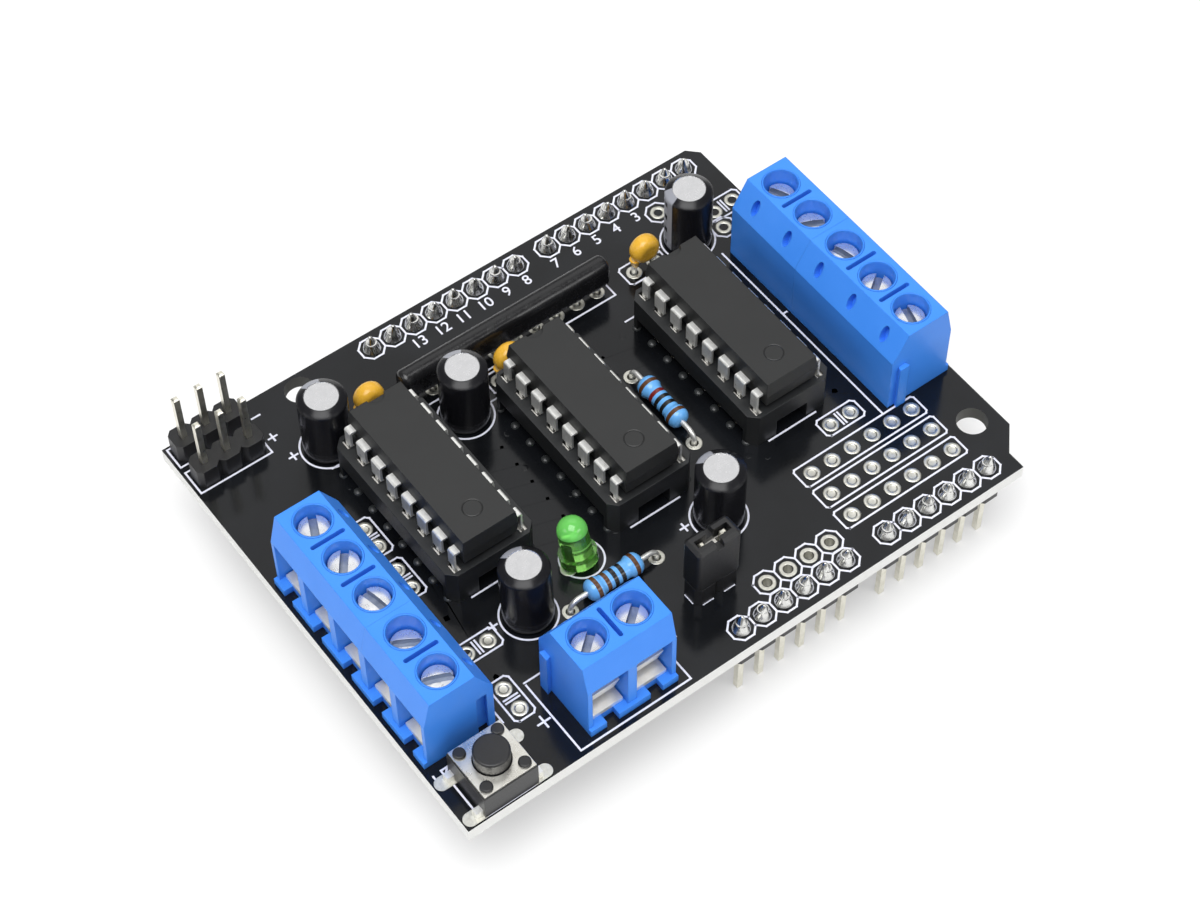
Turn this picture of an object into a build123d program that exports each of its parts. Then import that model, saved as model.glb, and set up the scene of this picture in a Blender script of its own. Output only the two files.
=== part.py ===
from build123d import *
import os

# Servo driver board: a stacking board that carries three socketed driver chips, screw
# terminals for motors and supply, servo headers, a supply jumper and a reset switch.
# Millimetres, +Z up. The origin is the centre of the base of the bounding box: the pin
# tips stand at Z = 0 and the board's outline is centred on X and Y.

os.makedirs("parts", exist_ok=True)

# ---------------------------------------------------------------- board
board_length = 68.4
board_width = 52.3
board_thickness = 1.6
edge_margin_x = 0.35        # board edge to the zero lines of the hole pattern
edge_margin_y = 0.45
tongue_depth = 2.35         # how far the right edge's tongue stands out
tongue_start = 5.13
tongue_slope = 2.6
tongue_run = 32.67
corner_cut = 1.2
mount_hole_diameter = 3.2
mount_hole_inset = 2.71     # right mounting hole to the right edge
mount_hole_rise = 7.62
far_hole_x = 15.24
far_hole_inset = 1.95       # back mounting hole and digital pins to the back edge

# ---------------------------------------------------------------- pins and leads
pitch = 2.54
pin_size = 0.64
pin_point = 0.16
pin_reach = 8.85            # header pins below the board
pin_rise = 0.95             # soldered pins above the board
strip_height = 2.5
strip_corner = 0.5
pin_hole_clearance = 0.06
lead_radius = 0.28
lead_hole_clearance = 0.15
lead_tail = 1.5             # lead ends below the board
solder_height = 1.0
solder_radius = 0.92
solder_gap = 0.01

high_digital_x = 23.876
low_digital_x = 45.72
power_x = 33.02
analog_x = 50.8
near_row_y = 2.54
servo_x = 2.3
servo_near_y = 47.5
servo_far_y = 51.3
tall_pin_top = 8.5          # servo pins above the board
jumper_x = 33.62
jumper_y = 8.0
jumper_pin_top = 8.2

# ---------------------------------------------------------------- screw terminals
terminal_pitch = 5.0
terminal_depth = 7.5
terminal_height = 10.2
knee_height = 6.8
front_lean = 0.8
back_shoulder = 7.0
back_lean = 1.8
well_line = 3.4             # screw axis behind the front wall
well_clearance = 0.22
opening_width = 4.0
chamber_back = 5.8
floor_height = 0.9
foot_reach = 0.4
foot_gap = 1.4
divider_slot_width = 0.45
divider_slot_length = 3.7
divider_slot_depth = 1.6
vent_long = 1.9
vent_short = 0.9
vent_depth = 0.9
rib_width = 1.2
rib_proud = 0.5
rib_height = 6.0
rib_line = 6.2
rib_clearance = 0.1
left_front_x = 1.2
left_far_y = 33.0
right_front_inset = 0.85
right_near_y = 13.9
supply_x = 14.85
supply_front_y = 2.0

strap_thickness = 1.0
strap_front = 1.9
metal_side_gap = 0.15
contact_floor = 0.5
contact_floor_front = 0.6
contact_back = 0.6
contact_pin = 1.0
screw_head_diameter = 3.0
screw_head_height = 1.3
screw_dome = 0.15
screw_slot = 0.8
screw_slot_depth = 0.75
screw_shank_diameter = 2.5
screw_shank_length = 4.9
thread_clearance = 0.05
plate_thickness = 0.4
plate_width = 3.2
plate_back_gap = 0.3
leaf_rise = 2.2
leaf_front = 0.75

# ---------------------------------------------------------------- driver chips
chip_length = 19.3
chip_width = 6.35
chip_thickness = 3.3
chip_draft = 7.0
chip_seat = 5.05            # underside of the body above the board
chip_row = 3.81             # lead line to the chip's middle
chip_lead_thickness = 0.25
chip_shoulder = 1.5
chip_shoulder_foot = 4.75
chip_tip_width = 0.46
chip_tip_height = 2.4
chip_notch_radius = 1.0
chip_notch_depth = 0.5
chip_leads = 8
chips = {
    "driver_chip_left": (17.78, 30.65),
    "driver_chip_middle": (34.55, 27.94),
    "driver_chip_right": (51.51, 27.94),
}

socket_rail_inner = 2.7
socket_overhang = 1.2       # rail beyond the lead line
socket_end = 1.06           # socket beyond the last contact's cell
socket_height = 4.5
socket_lift = 0.25
socket_corner = 0.9
socket_step = 0.8
socket_step_height = 1.9
socket_end_wall = 1.2
socket_arch_width = 3.8
socket_arch_height = 2.2
socket_foot = 1.4
cell_width = 1.2
cell_floor = 2.0
leaf_thickness = 0.25
leaf_clearance = 0.04
contact_top_gap = 0.3
contact_tail = 0.48
contact_tail_thickness = 0.28

# ---------------------------------------------------------------- small parts
capacitor_diameter = 5.0
capacitor_top = 8.0
capacitor_lift = 0.35
capacitor_lead_spacing = 2.54
sleeve_thickness = 0.08
sleeve_rim = 0.55
sleeve_lip = 3.35
bung_thickness = 0.9
capacitors = {
    "capacitor_front_left": (18.03, 15.75, 3.0),
    "capacitor_middle": (26.6, 38.2, 0.0),
    "capacitor_back_left": (13.8, 43.45, 0.0),
    "capacitor_back_right": (57.95, 42.9, 0.0),
    "capacitor_front_middle": (39.2, 13.8, 0.0),
}

disc_radius = 1.6
disc_thickness = 1.9
disc_centre = 3.0
disc_places = [(52.12, 42.7), (19.2, 44.0), (33.0, 39.75)]

network_pins = 10
network_x = 46.22
network_y = 42.95
network_thickness = 2.2
network_top = 5.0
network_lift = 1.2
network_overhang = 1.12
network_shoulder = 1.0
network_lead_thickness = 0.3

lamp_place = (25.3, 17.6)
lamp_diameter = 3.0
lamp_flange_diameter = 3.8
lamp_flange = 1.0
lamp_height = 5.3
lamp_lift = 0.75
lamp_lean = 13.0
lamp_side_lean = -2.0
lamp_frame_height = 2.6

resistor_body = 6.3
resistor_diameter = 2.3
resistor_waist = 1.9
resistor_cap = 1.3
resistor_height = 1.35
resistor_span = 10.16
resistor_bend = 1.0
resistors_at = [(26.4, 13.6, 0), (42.56, 27.1, 90)]

switch_place = (5.33, 3.6)
switch_size = 5.9
switch_base_height = 3.2
switch_cover_thickness = 0.3
switch_cover_size = 5.7
switch_rivet_inset = 0.85
switch_rivet_radius = 0.62
switch_rivet_rise = 0.3
switch_button_radius = 1.75
switch_button_top = 5.1
switch_button_clearance = 0.1
switch_flange_radius = 2.1
switch_flange_bottom = 2.1
switch_flange_thickness = 0.6
switch_chamber_clearance = 0.2
switch_chamber_floor = 1.5
switch_dome_radius = 1.9
switch_dome_thickness = 0.15
switch_dome_rise = 0.3
switch_leg_x = 3.25
switch_leg_y = 2.25
switch_leg_width = 0.7
switch_leg_thickness = 0.3
switch_leg_height = 0.9

shunt_bottom = 2.6
shunt_top = 8.6
shunt_fit = 0.1
shunt_spring = 0.25
shunt_spring_bottom = 3.3
shunt_spring_top = 7.1
shunt_spring_length = 4.0
shunt_roof = 1.4
shunt_cross = 0.8
shunt_cross_depth = 0.8
shunt_edge = 0.35

# ---------------------------------------------------------------- derived places
board_bottom = pin_reach
board_top = board_bottom + board_thickness
right_edge = edge_margin_x + board_length
back_edge = edge_margin_y + board_width
far_row_y = back_edge - far_hole_inset
pin_hole = pin_size * 2 ** 0.5 / 2 + pin_hole_clearance
lead_hole = lead_radius + lead_hole_clearance
contact_hole = contact_pin * 2 ** 0.5 / 2 + pin_hole_clearance


def place(x, y, z=0.0, turn=0.0):
    """Plan place from the hole pattern's corner, and height above the board's top."""
    x0 = x - edge_margin_x - board_length / 2
    y0 = y - edge_margin_y - board_width / 2
    return Location((x0, y0, board_top + z), (0, 0, turn))


def row(x, y, count):
    """Places of a row of pins along X."""
    return [(x + pitch * k, y) for k in range(count)]


def write_node(name, *pieces):
    """Write one node whose pieces touch each other and stay separate solids."""
    solids = [solid for piece in pieces for solid in piece.solids()]
    node = Compound(solids)
    node.label = name
    export_step(node, f"parts/{name}.step")


header_rows = [
    (high_digital_x, far_row_y, 8),
    (low_digital_x, far_row_y, 8),
    (power_x, near_row_y, 6),
    (analog_x, near_row_y, 6),
]
header_places = [p for x, y, count in header_rows for p in row(x, y, count)]
servo_rows = [(servo_x, servo_near_y, 3), (servo_x, servo_far_y, 3)]
servo_places = [p for x, y, count in servo_rows for p in row(x, y, count)]
jumper_places = [(jumper_x - pitch / 2, jumper_y), (jumper_x + pitch / 2, jumper_y)]

right_front_x = right_edge - right_front_inset
three_way = 3 * terminal_pitch
terminals = {
    "terminal_left_back": dict(
        at=(left_front_x, left_far_y), turn=-90, count=3, side="left", first=1,
        depths=[1.1, 0.9, 0.9], slots=[66, 53, 102]),
    "terminal_left_front": dict(
        at=(left_front_x, left_far_y - three_way), turn=-90, count=2, side="left", first=4,
        depths=[1.8, 1.3], slots=[149, 157]),
    "terminal_right_front": dict(
        at=(right_front_x, right_near_y), turn=90, count=3, side="right", first=1,
        depths=[1.2, 1.25, 1.4], slots=[74, 35, 104]),
    "terminal_right_back": dict(
        at=(right_front_x, right_near_y + three_way), turn=90, count=2, side="right", first=4,
        depths=[1.5, 1.6], slots=[154, 114]),
    "terminal_supply": dict(
        at=(supply_x, supply_front_y), turn=0, count=2, side="supply", first=1,
        depths=[1.5, 1.5], slots=[40, 39]),
}


def terminal_spots(block):
    """Screw axes of one terminal block, in the hole pattern's frame."""
    spots = []
    for k in range(block["count"]):
        along = terminal_pitch * (k + 0.5)
        local = Location((*block["at"], 0), (0, 0, block["turn"])) * Location((along, well_line, 0))
        spots.append((local.position.X, local.position.Y))
    return spots


terminal_places = [p for block in terminals.values() for p in terminal_spots(block)]
socket_places = [
    (x + side * chip_row, y + pitch * (k - (chip_leads - 1) / 2))
    for x, y in chips.values() for side in (-1, 1) for k in range(chip_leads)
]
capacitor_places = [
    (x + side * capacitor_lead_spacing / 2, y)
    for x, y, lean in capacitors.values() for side in (-1, 1)
]
disc_leads = [(x + side * pitch / 2, y) for x, y in disc_places for side in (-1, 1)]
network_places = [(network_x - pitch * k, network_y) for k in range(network_pins)]
lamp_leads = [(lamp_place[0] + side * pitch / 2, lamp_place[1]) for side in (-1, 1)]
resistor_leads = [
    (x + side * resistor_span / 2, y) if turn == 0 else (x, y + side * resistor_span / 2)
    for x, y, turn in resistors_at for side in (-1, 1)
]
switch_leads = [
    (switch_place[0] + i * switch_leg_x, switch_place[1] + j * switch_leg_y)
    for i in (-1, 1) for j in (-1, 1)
]
spare_places = (
    [(49.5 + pitch * k, y) for y in (12.3, 9.27, 6.2) for k in range(6)]
    + row(38.1, 5.03, 4)
    + [(54.66, 15.69), (57.18, 15.69), (11.0, 30.6), (11.0, 33.0), (10.9, 24.8), (10.9, 27.3)]
    + [(10.85, 15.7), (13.3, 15.7), (11.4, 8.0), (11.4, 10.55)]
)
thin_leads = capacitor_places + disc_leads + lamp_leads + resistor_leads + network_places
thin_leads += socket_places + switch_leads

# ---------------------------------------------------------------- circuit board
with BuildPart() as circuit_board:
    with BuildSketch(Plane.XY.offset(board_bottom)):
        with BuildLine(Plane.XY.offset(board_bottom)):
            left = -board_length / 2
            right = board_length / 2
            front = -board_width / 2
            back = board_width / 2
            tongue_near = front + tongue_start - edge_margin_y
            tongue_far = tongue_near + tongue_run
            Polyline(
                (left, front),
                (right - tongue_depth, front),
                (right - tongue_depth, tongue_near - tongue_slope),
                (right, tongue_near),
                (right, tongue_far),
                (right - tongue_depth, tongue_far + tongue_slope),
                (right - tongue_depth, back - corner_cut),
                (right - tongue_depth - corner_cut, back),
                (left, back),
                close=True,
            )
        make_face()
        grid = place(0, 0).position
        mounts = [(right_edge - mount_hole_inset, mount_hole_rise), (far_hole_x, far_row_y)]
        for places, radius in (
            (header_places + servo_places + jumper_places, pin_hole),
            (terminal_places, contact_hole),
            (thin_leads + spare_places, lead_hole),
            (mounts, mount_hole_diameter / 2),
        ):
            with Locations(*[(x + grid.X, y + grid.Y) for x, y in places]):
                Circle(radius, mode=Mode.SUBTRACT)
    extrude(amount=board_thickness)
circuit_board.part.label = "circuit_board"
export_step(circuit_board.part, "parts/circuit_board.step")

# ---------------------------------------------------------------- header strips and pins


def strip(count):
    """A pin header's plastic strip for a number of pins, centred, standing on Z = 0."""
    with BuildPart() as piece:
        with BuildSketch():
            with GridLocations(pitch, pitch, count, 1):
                with BuildSketch(mode=Mode.PRIVATE) as cell:
                    Rectangle(pitch, pitch)
                    chamfer(cell.vertices(), strip_corner)
                add(cell.sketch)
            with GridLocations(pitch, pitch, count, 1):
                Rectangle(pin_size, pin_size, mode=Mode.SUBTRACT)
        extrude(amount=strip_height)
    return piece.part


def strip_places(rows):
    """A strip for each row of pins, at the row's middle."""
    return [(strip(count), x + pitch * (count - 1) / 2, y) for x, y, count in rows]


with BuildPart() as header_strips:
    for piece, x, y in strip_places(header_rows):
        with Locations(place(x, y, -board_thickness - strip_height)):
            add(piece)
header_strips.part.label = "header_strips"
export_step(header_strips.part, "parts/header_strips.step")

with BuildPart() as servo_header_strips:
    for piece, x, y in strip_places(servo_rows):
        with Locations(place(x, y)):
            add(piece)
servo_header_strips.part.label = "servo_header_strips"
export_step(servo_header_strips.part, "parts/servo_header_strips.step")

with BuildPart() as jumper_header_strip:
    with Locations(place(jumper_x, jumper_y)):
        add(strip(2))
jumper_header_strip.part.label = "jumper_header_strip"
export_step(jumper_header_strip.part, "parts/jumper_header_strip.step")


def pin(length, size=pin_size, point=pin_point):
    """A square pin, pointed at both ends, standing on Z = 0."""
    with BuildPart() as piece:
        with BuildSketch():
            Rectangle(size, size)
        extrude(amount=length)
        chamfer(piece.faces().sort_by(Axis.Z)[-1].edges(), point)
        chamfer(piece.faces().sort_by(Axis.Z)[0].edges(), point)
    return piece.part


with BuildPart() as header_pins:
    for places, low, high in (
        (header_places, -board_top, pin_rise),
        (servo_places, -board_thickness - lead_tail, tall_pin_top),
        (jumper_places, -board_thickness - lead_tail, jumper_pin_top),
    ):
        with Locations(*[place(x, y, low) for x, y in places]):
            add(pin(high - low))
header_pins.part.label = "header_pins"
export_step(header_pins.part, "parts/header_pins.step")

# ---------------------------------------------------------------- screw terminals
screw_well = screw_head_diameter + 2 * well_clearance
contact_back_face = chamber_back
metal_width = opening_width - 2 * metal_side_gap
plate_back = contact_back_face - contact_back - plate_back_gap
lowest_head_top = knee_height + screw_head_height + 0.05


def terminal_housing(count):
    """Housing of one block: wires enter at Y = 0, positions run along X."""
    length = count * terminal_pitch
    centres = [terminal_pitch * (k + 0.5) for k in range(count)]
    with BuildPart() as piece:
        with BuildSketch(Plane.YZ):
            with BuildLine():
                Polyline(
                    (0, 0), (0, knee_height), (front_lean, terminal_height),
                    (terminal_depth - back_lean, terminal_height),
                    (terminal_depth, back_shoulder), (terminal_depth, 0), close=True,
                )
            make_face()
        extrude(amount=length)
        for x in centres:
            # wire chamber, open to the front, and the screw's well above it
            with Locations((x, chamber_back / 2, (floor_height + knee_height) / 2)):
                Box(opening_width, chamber_back, knee_height - floor_height, mode=Mode.SUBTRACT)
            with BuildSketch(Plane.XY.offset(knee_height)):
                with Locations((x, well_line)):
                    Circle(screw_well / 2)
            extrude(amount=terminal_height - knee_height, mode=Mode.SUBTRACT)
            # the floor's two feet in front of each opening
            foot = (terminal_pitch - foot_gap) / 2
            for side in (-1, 1):
                with Locations((x + side * (foot_gap + foot) / 2, -foot_reach / 2, floor_height / 2)):
                    Box(foot, foot_reach, floor_height)
            with Locations((x, contact_floor_front / 2, floor_height / 2)):
                Box(foot_gap, contact_floor_front, floor_height, mode=Mode.SUBTRACT)
            # the contact's pin passes through the floor
            with Locations((x, well_line, floor_height / 2)):
                Box(contact_pin, contact_pin, floor_height, mode=Mode.SUBTRACT)
            # blind vent in the back slope
            slope = Plane(
                origin=(x, terminal_depth - back_lean / 2, (terminal_height + back_shoulder) / 2),
                x_dir=(1, 0, 0),
                z_dir=(0, terminal_height - back_shoulder, back_lean),
            )
            with BuildSketch(slope):
                Ellipse(vent_short / 2, vent_long / 2)
            extrude(amount=-vent_depth, mode=Mode.SUBTRACT)
        # slots in the top between the positions
        with BuildSketch(Plane.XY.offset(terminal_height)):
            with Locations(*[(terminal_pitch * k, well_line) for k in range(1, count)]):
                SlotOverall(divider_slot_length, divider_slot_width, rotation=90)
        extrude(amount=-divider_slot_depth, mode=Mode.SUBTRACT)
        # dovetail rib at the left end, its groove at the right end
        with BuildSketch():
            with Locations((0, rib_line)):
                Polygon(
                    (0, -rib_width / 2 + 0.15), (-rib_proud, -rib_width / 2),
                    (-rib_proud, rib_width / 2), (0, rib_width / 2 - 0.15), align=None)
        extrude(amount=rib_height)
        with BuildSketch():
            with Locations((length, rib_line)):
                half = rib_width / 2 + rib_clearance
                Polygon(
                    (0, -half + 0.15), (-rib_proud - rib_clearance, -half),
                    (-rib_proud - rib_clearance, half), (0, half - 0.15), align=None)
        extrude(amount=rib_height + rib_clearance, mode=Mode.SUBTRACT)
    return piece.part


def terminal_contact():
    """Clamp frame about its screw axis: floor, back, threaded strap and board pin."""
    strap_bottom = knee_height - strap_thickness
    back = contact_back_face - well_line
    with BuildPart() as piece:
        with BuildSketch(Plane.YZ.offset(-metal_width / 2)):
            with BuildLine():
                Polyline(
                    (contact_floor_front - well_line, floor_height), (back, floor_height),
                    (back, knee_height), (strap_front - well_line, knee_height),
                    (strap_front - well_line, strap_bottom), (back - contact_back, strap_bottom),
                    (back - contact_back, floor_height + contact_floor),
                    (contact_floor_front - well_line, floor_height + contact_floor), close=True,
                )
            make_face()
        extrude(amount=metal_width)
        with BuildSketch(Plane.XY.offset(strap_bottom)):
            Circle(screw_shank_diameter / 2 + thread_clearance)
        extrude(amount=strap_thickness, mode=Mode.SUBTRACT)
        with BuildSketch(Plane.XY.offset(-board_thickness - lead_tail)):
            Rectangle(contact_pin, contact_pin)
        extrude(amount=board_thickness + lead_tail + floor_height)
    return piece.part


def clamp_plate():
    """Wire plate under a screw's foot: Z = 0 is its top face, its leaf rises to the front."""
    foot_front = strap_front - well_line
    with BuildPart() as piece:
        with BuildSketch(Plane.YZ.offset(-plate_width / 2)):
            with BuildLine():
                Polyline(
                    (plate_back - well_line, -plate_thickness), (plate_back - well_line, 0),
                    (foot_front, 0), (leaf_front - well_line + plate_thickness, leaf_rise),
                    (leaf_front - well_line, leaf_rise), (foot_front - 0.25, -plate_thickness),
                    close=True,
                )
            make_face()
        extrude(amount=plate_width)
    return piece.part


def terminal_screw(slot_turn):
    """Slotted cheese-head screw: Z = 0 is the foot's face."""
    head_bottom = screw_shank_length
    head_top = head_bottom + screw_head_height
    with BuildPart() as piece:
        with BuildSketch():
            Circle(screw_shank_diameter / 2)
        extrude(amount=screw_shank_length)
        chamfer(piece.edges().sort_by(Axis.Z)[0], 0.2)
        with BuildSketch(Plane.XZ):
            with BuildLine():
                Polyline(
                    (0, head_top - screw_dome), (0, head_bottom), (screw_head_diameter / 2, head_bottom),
                    (screw_head_diameter / 2, head_top - screw_dome),
                )
                ThreePointArc(
                    (screw_head_diameter / 2, head_top - screw_dome),
                    (screw_head_diameter / 4, head_top - screw_dome / 4),
                    (0, head_top),
                )
                Line((0, head_top), (0, head_top - screw_dome))
            make_face()
        revolve(axis=Axis.Z)
        with Locations(Location((0, 0, head_top), (0, 0, slot_turn))):
            Box(screw_head_diameter + 1, screw_slot, 2 * screw_slot_depth, mode=Mode.SUBTRACT)
    return piece.part


contacts = []
for name, block in terminals.items():
    with BuildPart() as housing:
        with Locations(place(*block["at"], 0, block["turn"])):
            add(terminal_housing(block["count"]))
    housing.part.label = name
    export_step(housing.part, f"parts/{name}.step")
    for k, (x, y) in enumerate(terminal_spots(block)):
        contacts.append(place(x, y, 0, block["turn"]))
        foot = terminal_height - block["depths"][k] - screw_head_height - screw_shank_length
        number = block["first"] + k
        with BuildPart() as plate:
            with Locations(place(x, y, foot, block["turn"])):
                add(clamp_plate())
        plate.part.label = f"{block['side']}_clamp_plate_{number}"
        export_step(plate.part, f"parts/{plate.part.label}.step")
        with BuildPart() as screw:
            with Locations(place(x, y, foot)):
                add(terminal_screw(block["slots"][k]))
        screw.part.label = f"{block['side']}_screw_{number}"
        export_step(screw.part, f"parts/{screw.part.label}.step")

with BuildPart() as terminal_contacts:
    with Locations(*contacts):
        add(terminal_contact())
terminal_contacts.part.label = "terminal_contacts"
export_step(terminal_contacts.part, "parts/terminal_contacts.step")

# ---------------------------------------------------------------- chips and sockets
cell_rows = [pitch * (k - (chip_leads - 1) / 2) for k in range(chip_leads)]
socket_half_length = chip_leads * pitch / 2 - pitch / 2 + socket_end
socket_half_width = chip_row + socket_overhang
cell_depth = chip_lead_thickness + 2 * (leaf_thickness + leaf_clearance)

with BuildPart() as socket_frame:
    rail = socket_half_width - socket_rail_inner
    with BuildSketch(Plane.XY.offset(socket_lift)) as frame_plan:
        Rectangle(2 * socket_half_width, 2 * socket_half_length)
        chamfer(frame_plan.vertices(), socket_corner)
        Rectangle(
            2 * socket_rail_inner, 2 * (socket_half_length - socket_end_wall), mode=Mode.SUBTRACT)
        Rectangle(2 * socket_rail_inner, socket_end_wall)
    extrude(amount=socket_height - socket_lift)
    # corner feet reach the board
    with BuildSketch() as feet_plan:
        Rectangle(2 * socket_half_width, 2 * socket_half_length)
        chamfer(feet_plan.vertices(), socket_corner)
        Rectangle(2 * socket_arch_width / 2, 2 * socket_half_length, mode=Mode.SUBTRACT)
        Rectangle(
            2 * socket_half_width, 2 * (socket_half_length - socket_end_wall), mode=Mode.SUBTRACT)
    extrude(amount=socket_lift)
    # arches in the end walls
    with Locations((0, 0, socket_arch_height / 2)):
        Box(socket_arch_width, 3 * socket_half_length, socket_arch_height, mode=Mode.SUBTRACT)
    # lower side walls stepped in
    for side in (-1, 1):
        with Locations((side * socket_half_width, 0, socket_step_height / 2)):
            Box(
                2 * socket_step, 2 * (socket_half_length - socket_foot), socket_step_height,
                mode=Mode.SUBTRACT)
    # contact cells, and the tail's passage under each
    cells = [(side * chip_row, y) for side in (-1, 1) for y in cell_rows]
    with BuildSketch(Plane.XY.offset(cell_floor)):
        with Locations(*cells):
            Rectangle(cell_depth, cell_width)
    extrude(amount=socket_height - cell_floor, mode=Mode.SUBTRACT)
    with BuildSketch():
        with Locations(*cells):
            Rectangle(contact_tail_thickness, contact_tail)
    extrude(amount=cell_floor, mode=Mode.SUBTRACT)

with BuildPart() as socket_contact:
    inner = chip_lead_thickness / 2 + leaf_clearance
    outer = inner + leaf_thickness
    top = socket_height - contact_top_gap
    with BuildSketch(Plane.XZ.offset(-cell_width / 2)):
        with BuildLine():
            Polyline(
                (-outer, cell_floor), (outer, cell_floor), (outer, top), (inner, top),
                (inner, cell_floor + leaf_thickness), (-inner, cell_floor + leaf_thickness),
                (-inner, top), (-outer, top), close=True,
            )
        make_face()
    extrude(amount=cell_width)
    with BuildSketch(Plane.XY.offset(-board_thickness - lead_tail)):
        Rectangle(contact_tail_thickness, contact_tail)
    extrude(amount=board_thickness + lead_tail + cell_floor)

half_thickness = chip_thickness / 2
lead_height = chip_seat + half_thickness
with BuildPart() as chip_body:
    with BuildSketch(Plane.XY.offset(lead_height)):
        Rectangle(chip_width, chip_length)
    extrude(amount=half_thickness, taper=chip_draft)
    with BuildSketch(Plane.XY.offset(lead_height)):
        Rectangle(chip_width, chip_length)
    extrude(amount=-half_thickness, taper=chip_draft)
    with BuildSketch(Plane.XY.offset(lead_height + half_thickness)):
        with Locations((0, chip_length / 2)):
            Circle(chip_notch_radius)
    extrude(amount=-chip_notch_depth, mode=Mode.SUBTRACT)


def chip_lead(shoulder, shift):
    """One lead on the +X side: shoulder from the body, then a narrow tip."""
    inner = chip_row - chip_lead_thickness / 2
    outer = chip_row + chip_lead_thickness / 2
    with BuildPart() as piece:
        with BuildSketch(Plane.XZ.offset(shift - shoulder / 2)) as side_view:
            with BuildLine():
                Polyline(
                    (chip_width / 2, lead_height - chip_lead_thickness / 2),
                    (inner, lead_height - chip_lead_thickness / 2),
                    (inner, chip_shoulder_foot), (outer, chip_shoulder_foot),
                    (outer, lead_height + chip_lead_thickness / 2),
                    (chip_width / 2, lead_height + chip_lead_thickness / 2), close=True,
                )
            make_face()
            corner = side_view.vertices().sort_by(lambda v: v.X + v.Y)[-1]
            fillet(corner, chip_lead_thickness)
        extrude(amount=shoulder)
        with BuildSketch(Plane.XY.offset(chip_tip_height)):
            with Locations((chip_row, 0)):
                Rectangle(chip_lead_thickness, chip_tip_width)
        extrude(amount=chip_shoulder_foot - chip_tip_height)
    return piece.part


end_width = chip_shoulder / 2 + chip_tip_width / 2
end_shift = (chip_shoulder - chip_tip_width) / 4
middle_lead = chip_lead(chip_shoulder, 0)
for name, (x, y) in chips.items():
    with BuildPart() as leads:
        for index, along in enumerate(cell_rows):
            shift = end_shift if index == 0 else -end_shift
            ends = index in (0, chip_leads - 1)
            lead = chip_lead(end_width, -shift) if ends else middle_lead
            with Locations(place(x, y + along)):
                add(lead)
            with Locations(place(x, y + along)):
                add(mirror(lead, about=Plane.YZ, mode=Mode.PRIVATE))
    with BuildPart() as body:
        with Locations(place(x, y)):
            add(chip_body.part)
    write_node(name, body.part, leads.part)
    with BuildPart() as chip_socket:
        with Locations(place(x, y)):
            add(socket_frame.part)
    chip_socket.part.label = name.replace("driver_chip", "chip_socket")
    export_step(chip_socket.part, f"parts/{chip_socket.part.label}.step")

with BuildPart() as socket_contacts:
    with Locations(*[place(x, y) for x, y in socket_places]):
        add(socket_contact.part)
socket_contacts.part.label = "socket_contacts"
export_step(socket_contacts.part, "parts/socket_contacts.step")

# ---------------------------------------------------------------- electrolytic capacitors
can_radius = capacitor_diameter / 2 - sleeve_thickness
sleeve_radius = capacitor_diameter / 2
shoulder = sleeve_rim

with BuildPart() as can:
    bottom = capacitor_lift + bung_thickness
    with BuildSketch(Plane.XZ) as can_section:
        with BuildLine():
            Polyline(
                (0, bottom), (can_radius, bottom), (can_radius, capacitor_top - shoulder),
                (sleeve_lip / 2, capacitor_top - sleeve_thickness), (0, capacitor_top - sleeve_thickness),
                close=True,
            )
        make_face()
    revolve(axis=Axis.Z)

with BuildPart() as sleeve:
    with BuildSketch(Plane.XZ):
        with BuildLine():
            Polyline(
                (can_radius, capacitor_lift), (sleeve_radius, capacitor_lift),
                (sleeve_radius, capacitor_top - shoulder + 0.05), (sleeve_lip / 2 + 0.05, capacitor_top),
                (sleeve_lip / 2, capacitor_top - sleeve_thickness),
                (can_radius, capacitor_top - shoulder), close=True,
            )
        make_face()
    revolve(axis=Axis.Z)

with BuildPart() as bung:
    with BuildSketch(Plane.XY.offset(capacitor_lift)):
        Circle(can_radius)
    extrude(amount=bung_thickness)
    fillet(bung.edges().sort_by(Axis.Z)[0], 0.2)

for name, (x, y, lean) in capacitors.items():
    pieces = []
    for source in (can, sleeve, bung):
        with BuildPart() as piece:
            with Locations(place(x, y) * Location((0, 0, 0), (-lean, 0, 0))):
                add(source.part)
        pieces.append(piece.part)
    with BuildPart() as leads:
        spots = [(x + side * capacitor_lead_spacing / 2, y) for side in (-1, 1)]
        with Locations(*[place(*spot, -board_thickness - lead_tail) for spot in spots]):
            Cylinder(
                lead_radius, board_thickness + lead_tail + capacitor_lift + 0.3,
                align=(Align.CENTER, Align.CENTER, Align.MIN))
        add(pieces[2], mode=Mode.SUBTRACT)
    write_node(name, *pieces, leads.part)

# ---------------------------------------------------------------- ceramic capacitors
with BuildPart() as disc:
    with BuildSketch(Plane.XZ.offset(-disc_thickness / 2)):
        with Locations((0, disc_centre)):
            Circle(disc_radius)
    extrude(amount=disc_thickness)
    fillet(disc.edges().filter_by(GeomType.CIRCLE), disc_thickness * 0.42)

with BuildPart() as discs:
    with Locations(*[place(x, y) for x, y in disc_places]):
        add(disc.part)
with BuildPart() as disc_wires:
    with Locations(*[place(x, y, -board_thickness - lead_tail) for x, y in disc_leads]):
        Cylinder(
            lead_radius, board_thickness + lead_tail + disc_centre,
            align=(Align.CENTER, Align.CENTER, Align.MIN))
    add(discs.part, mode=Mode.SUBTRACT)
write_node("ceramic_capacitors", discs.part, disc_wires.part)

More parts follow.
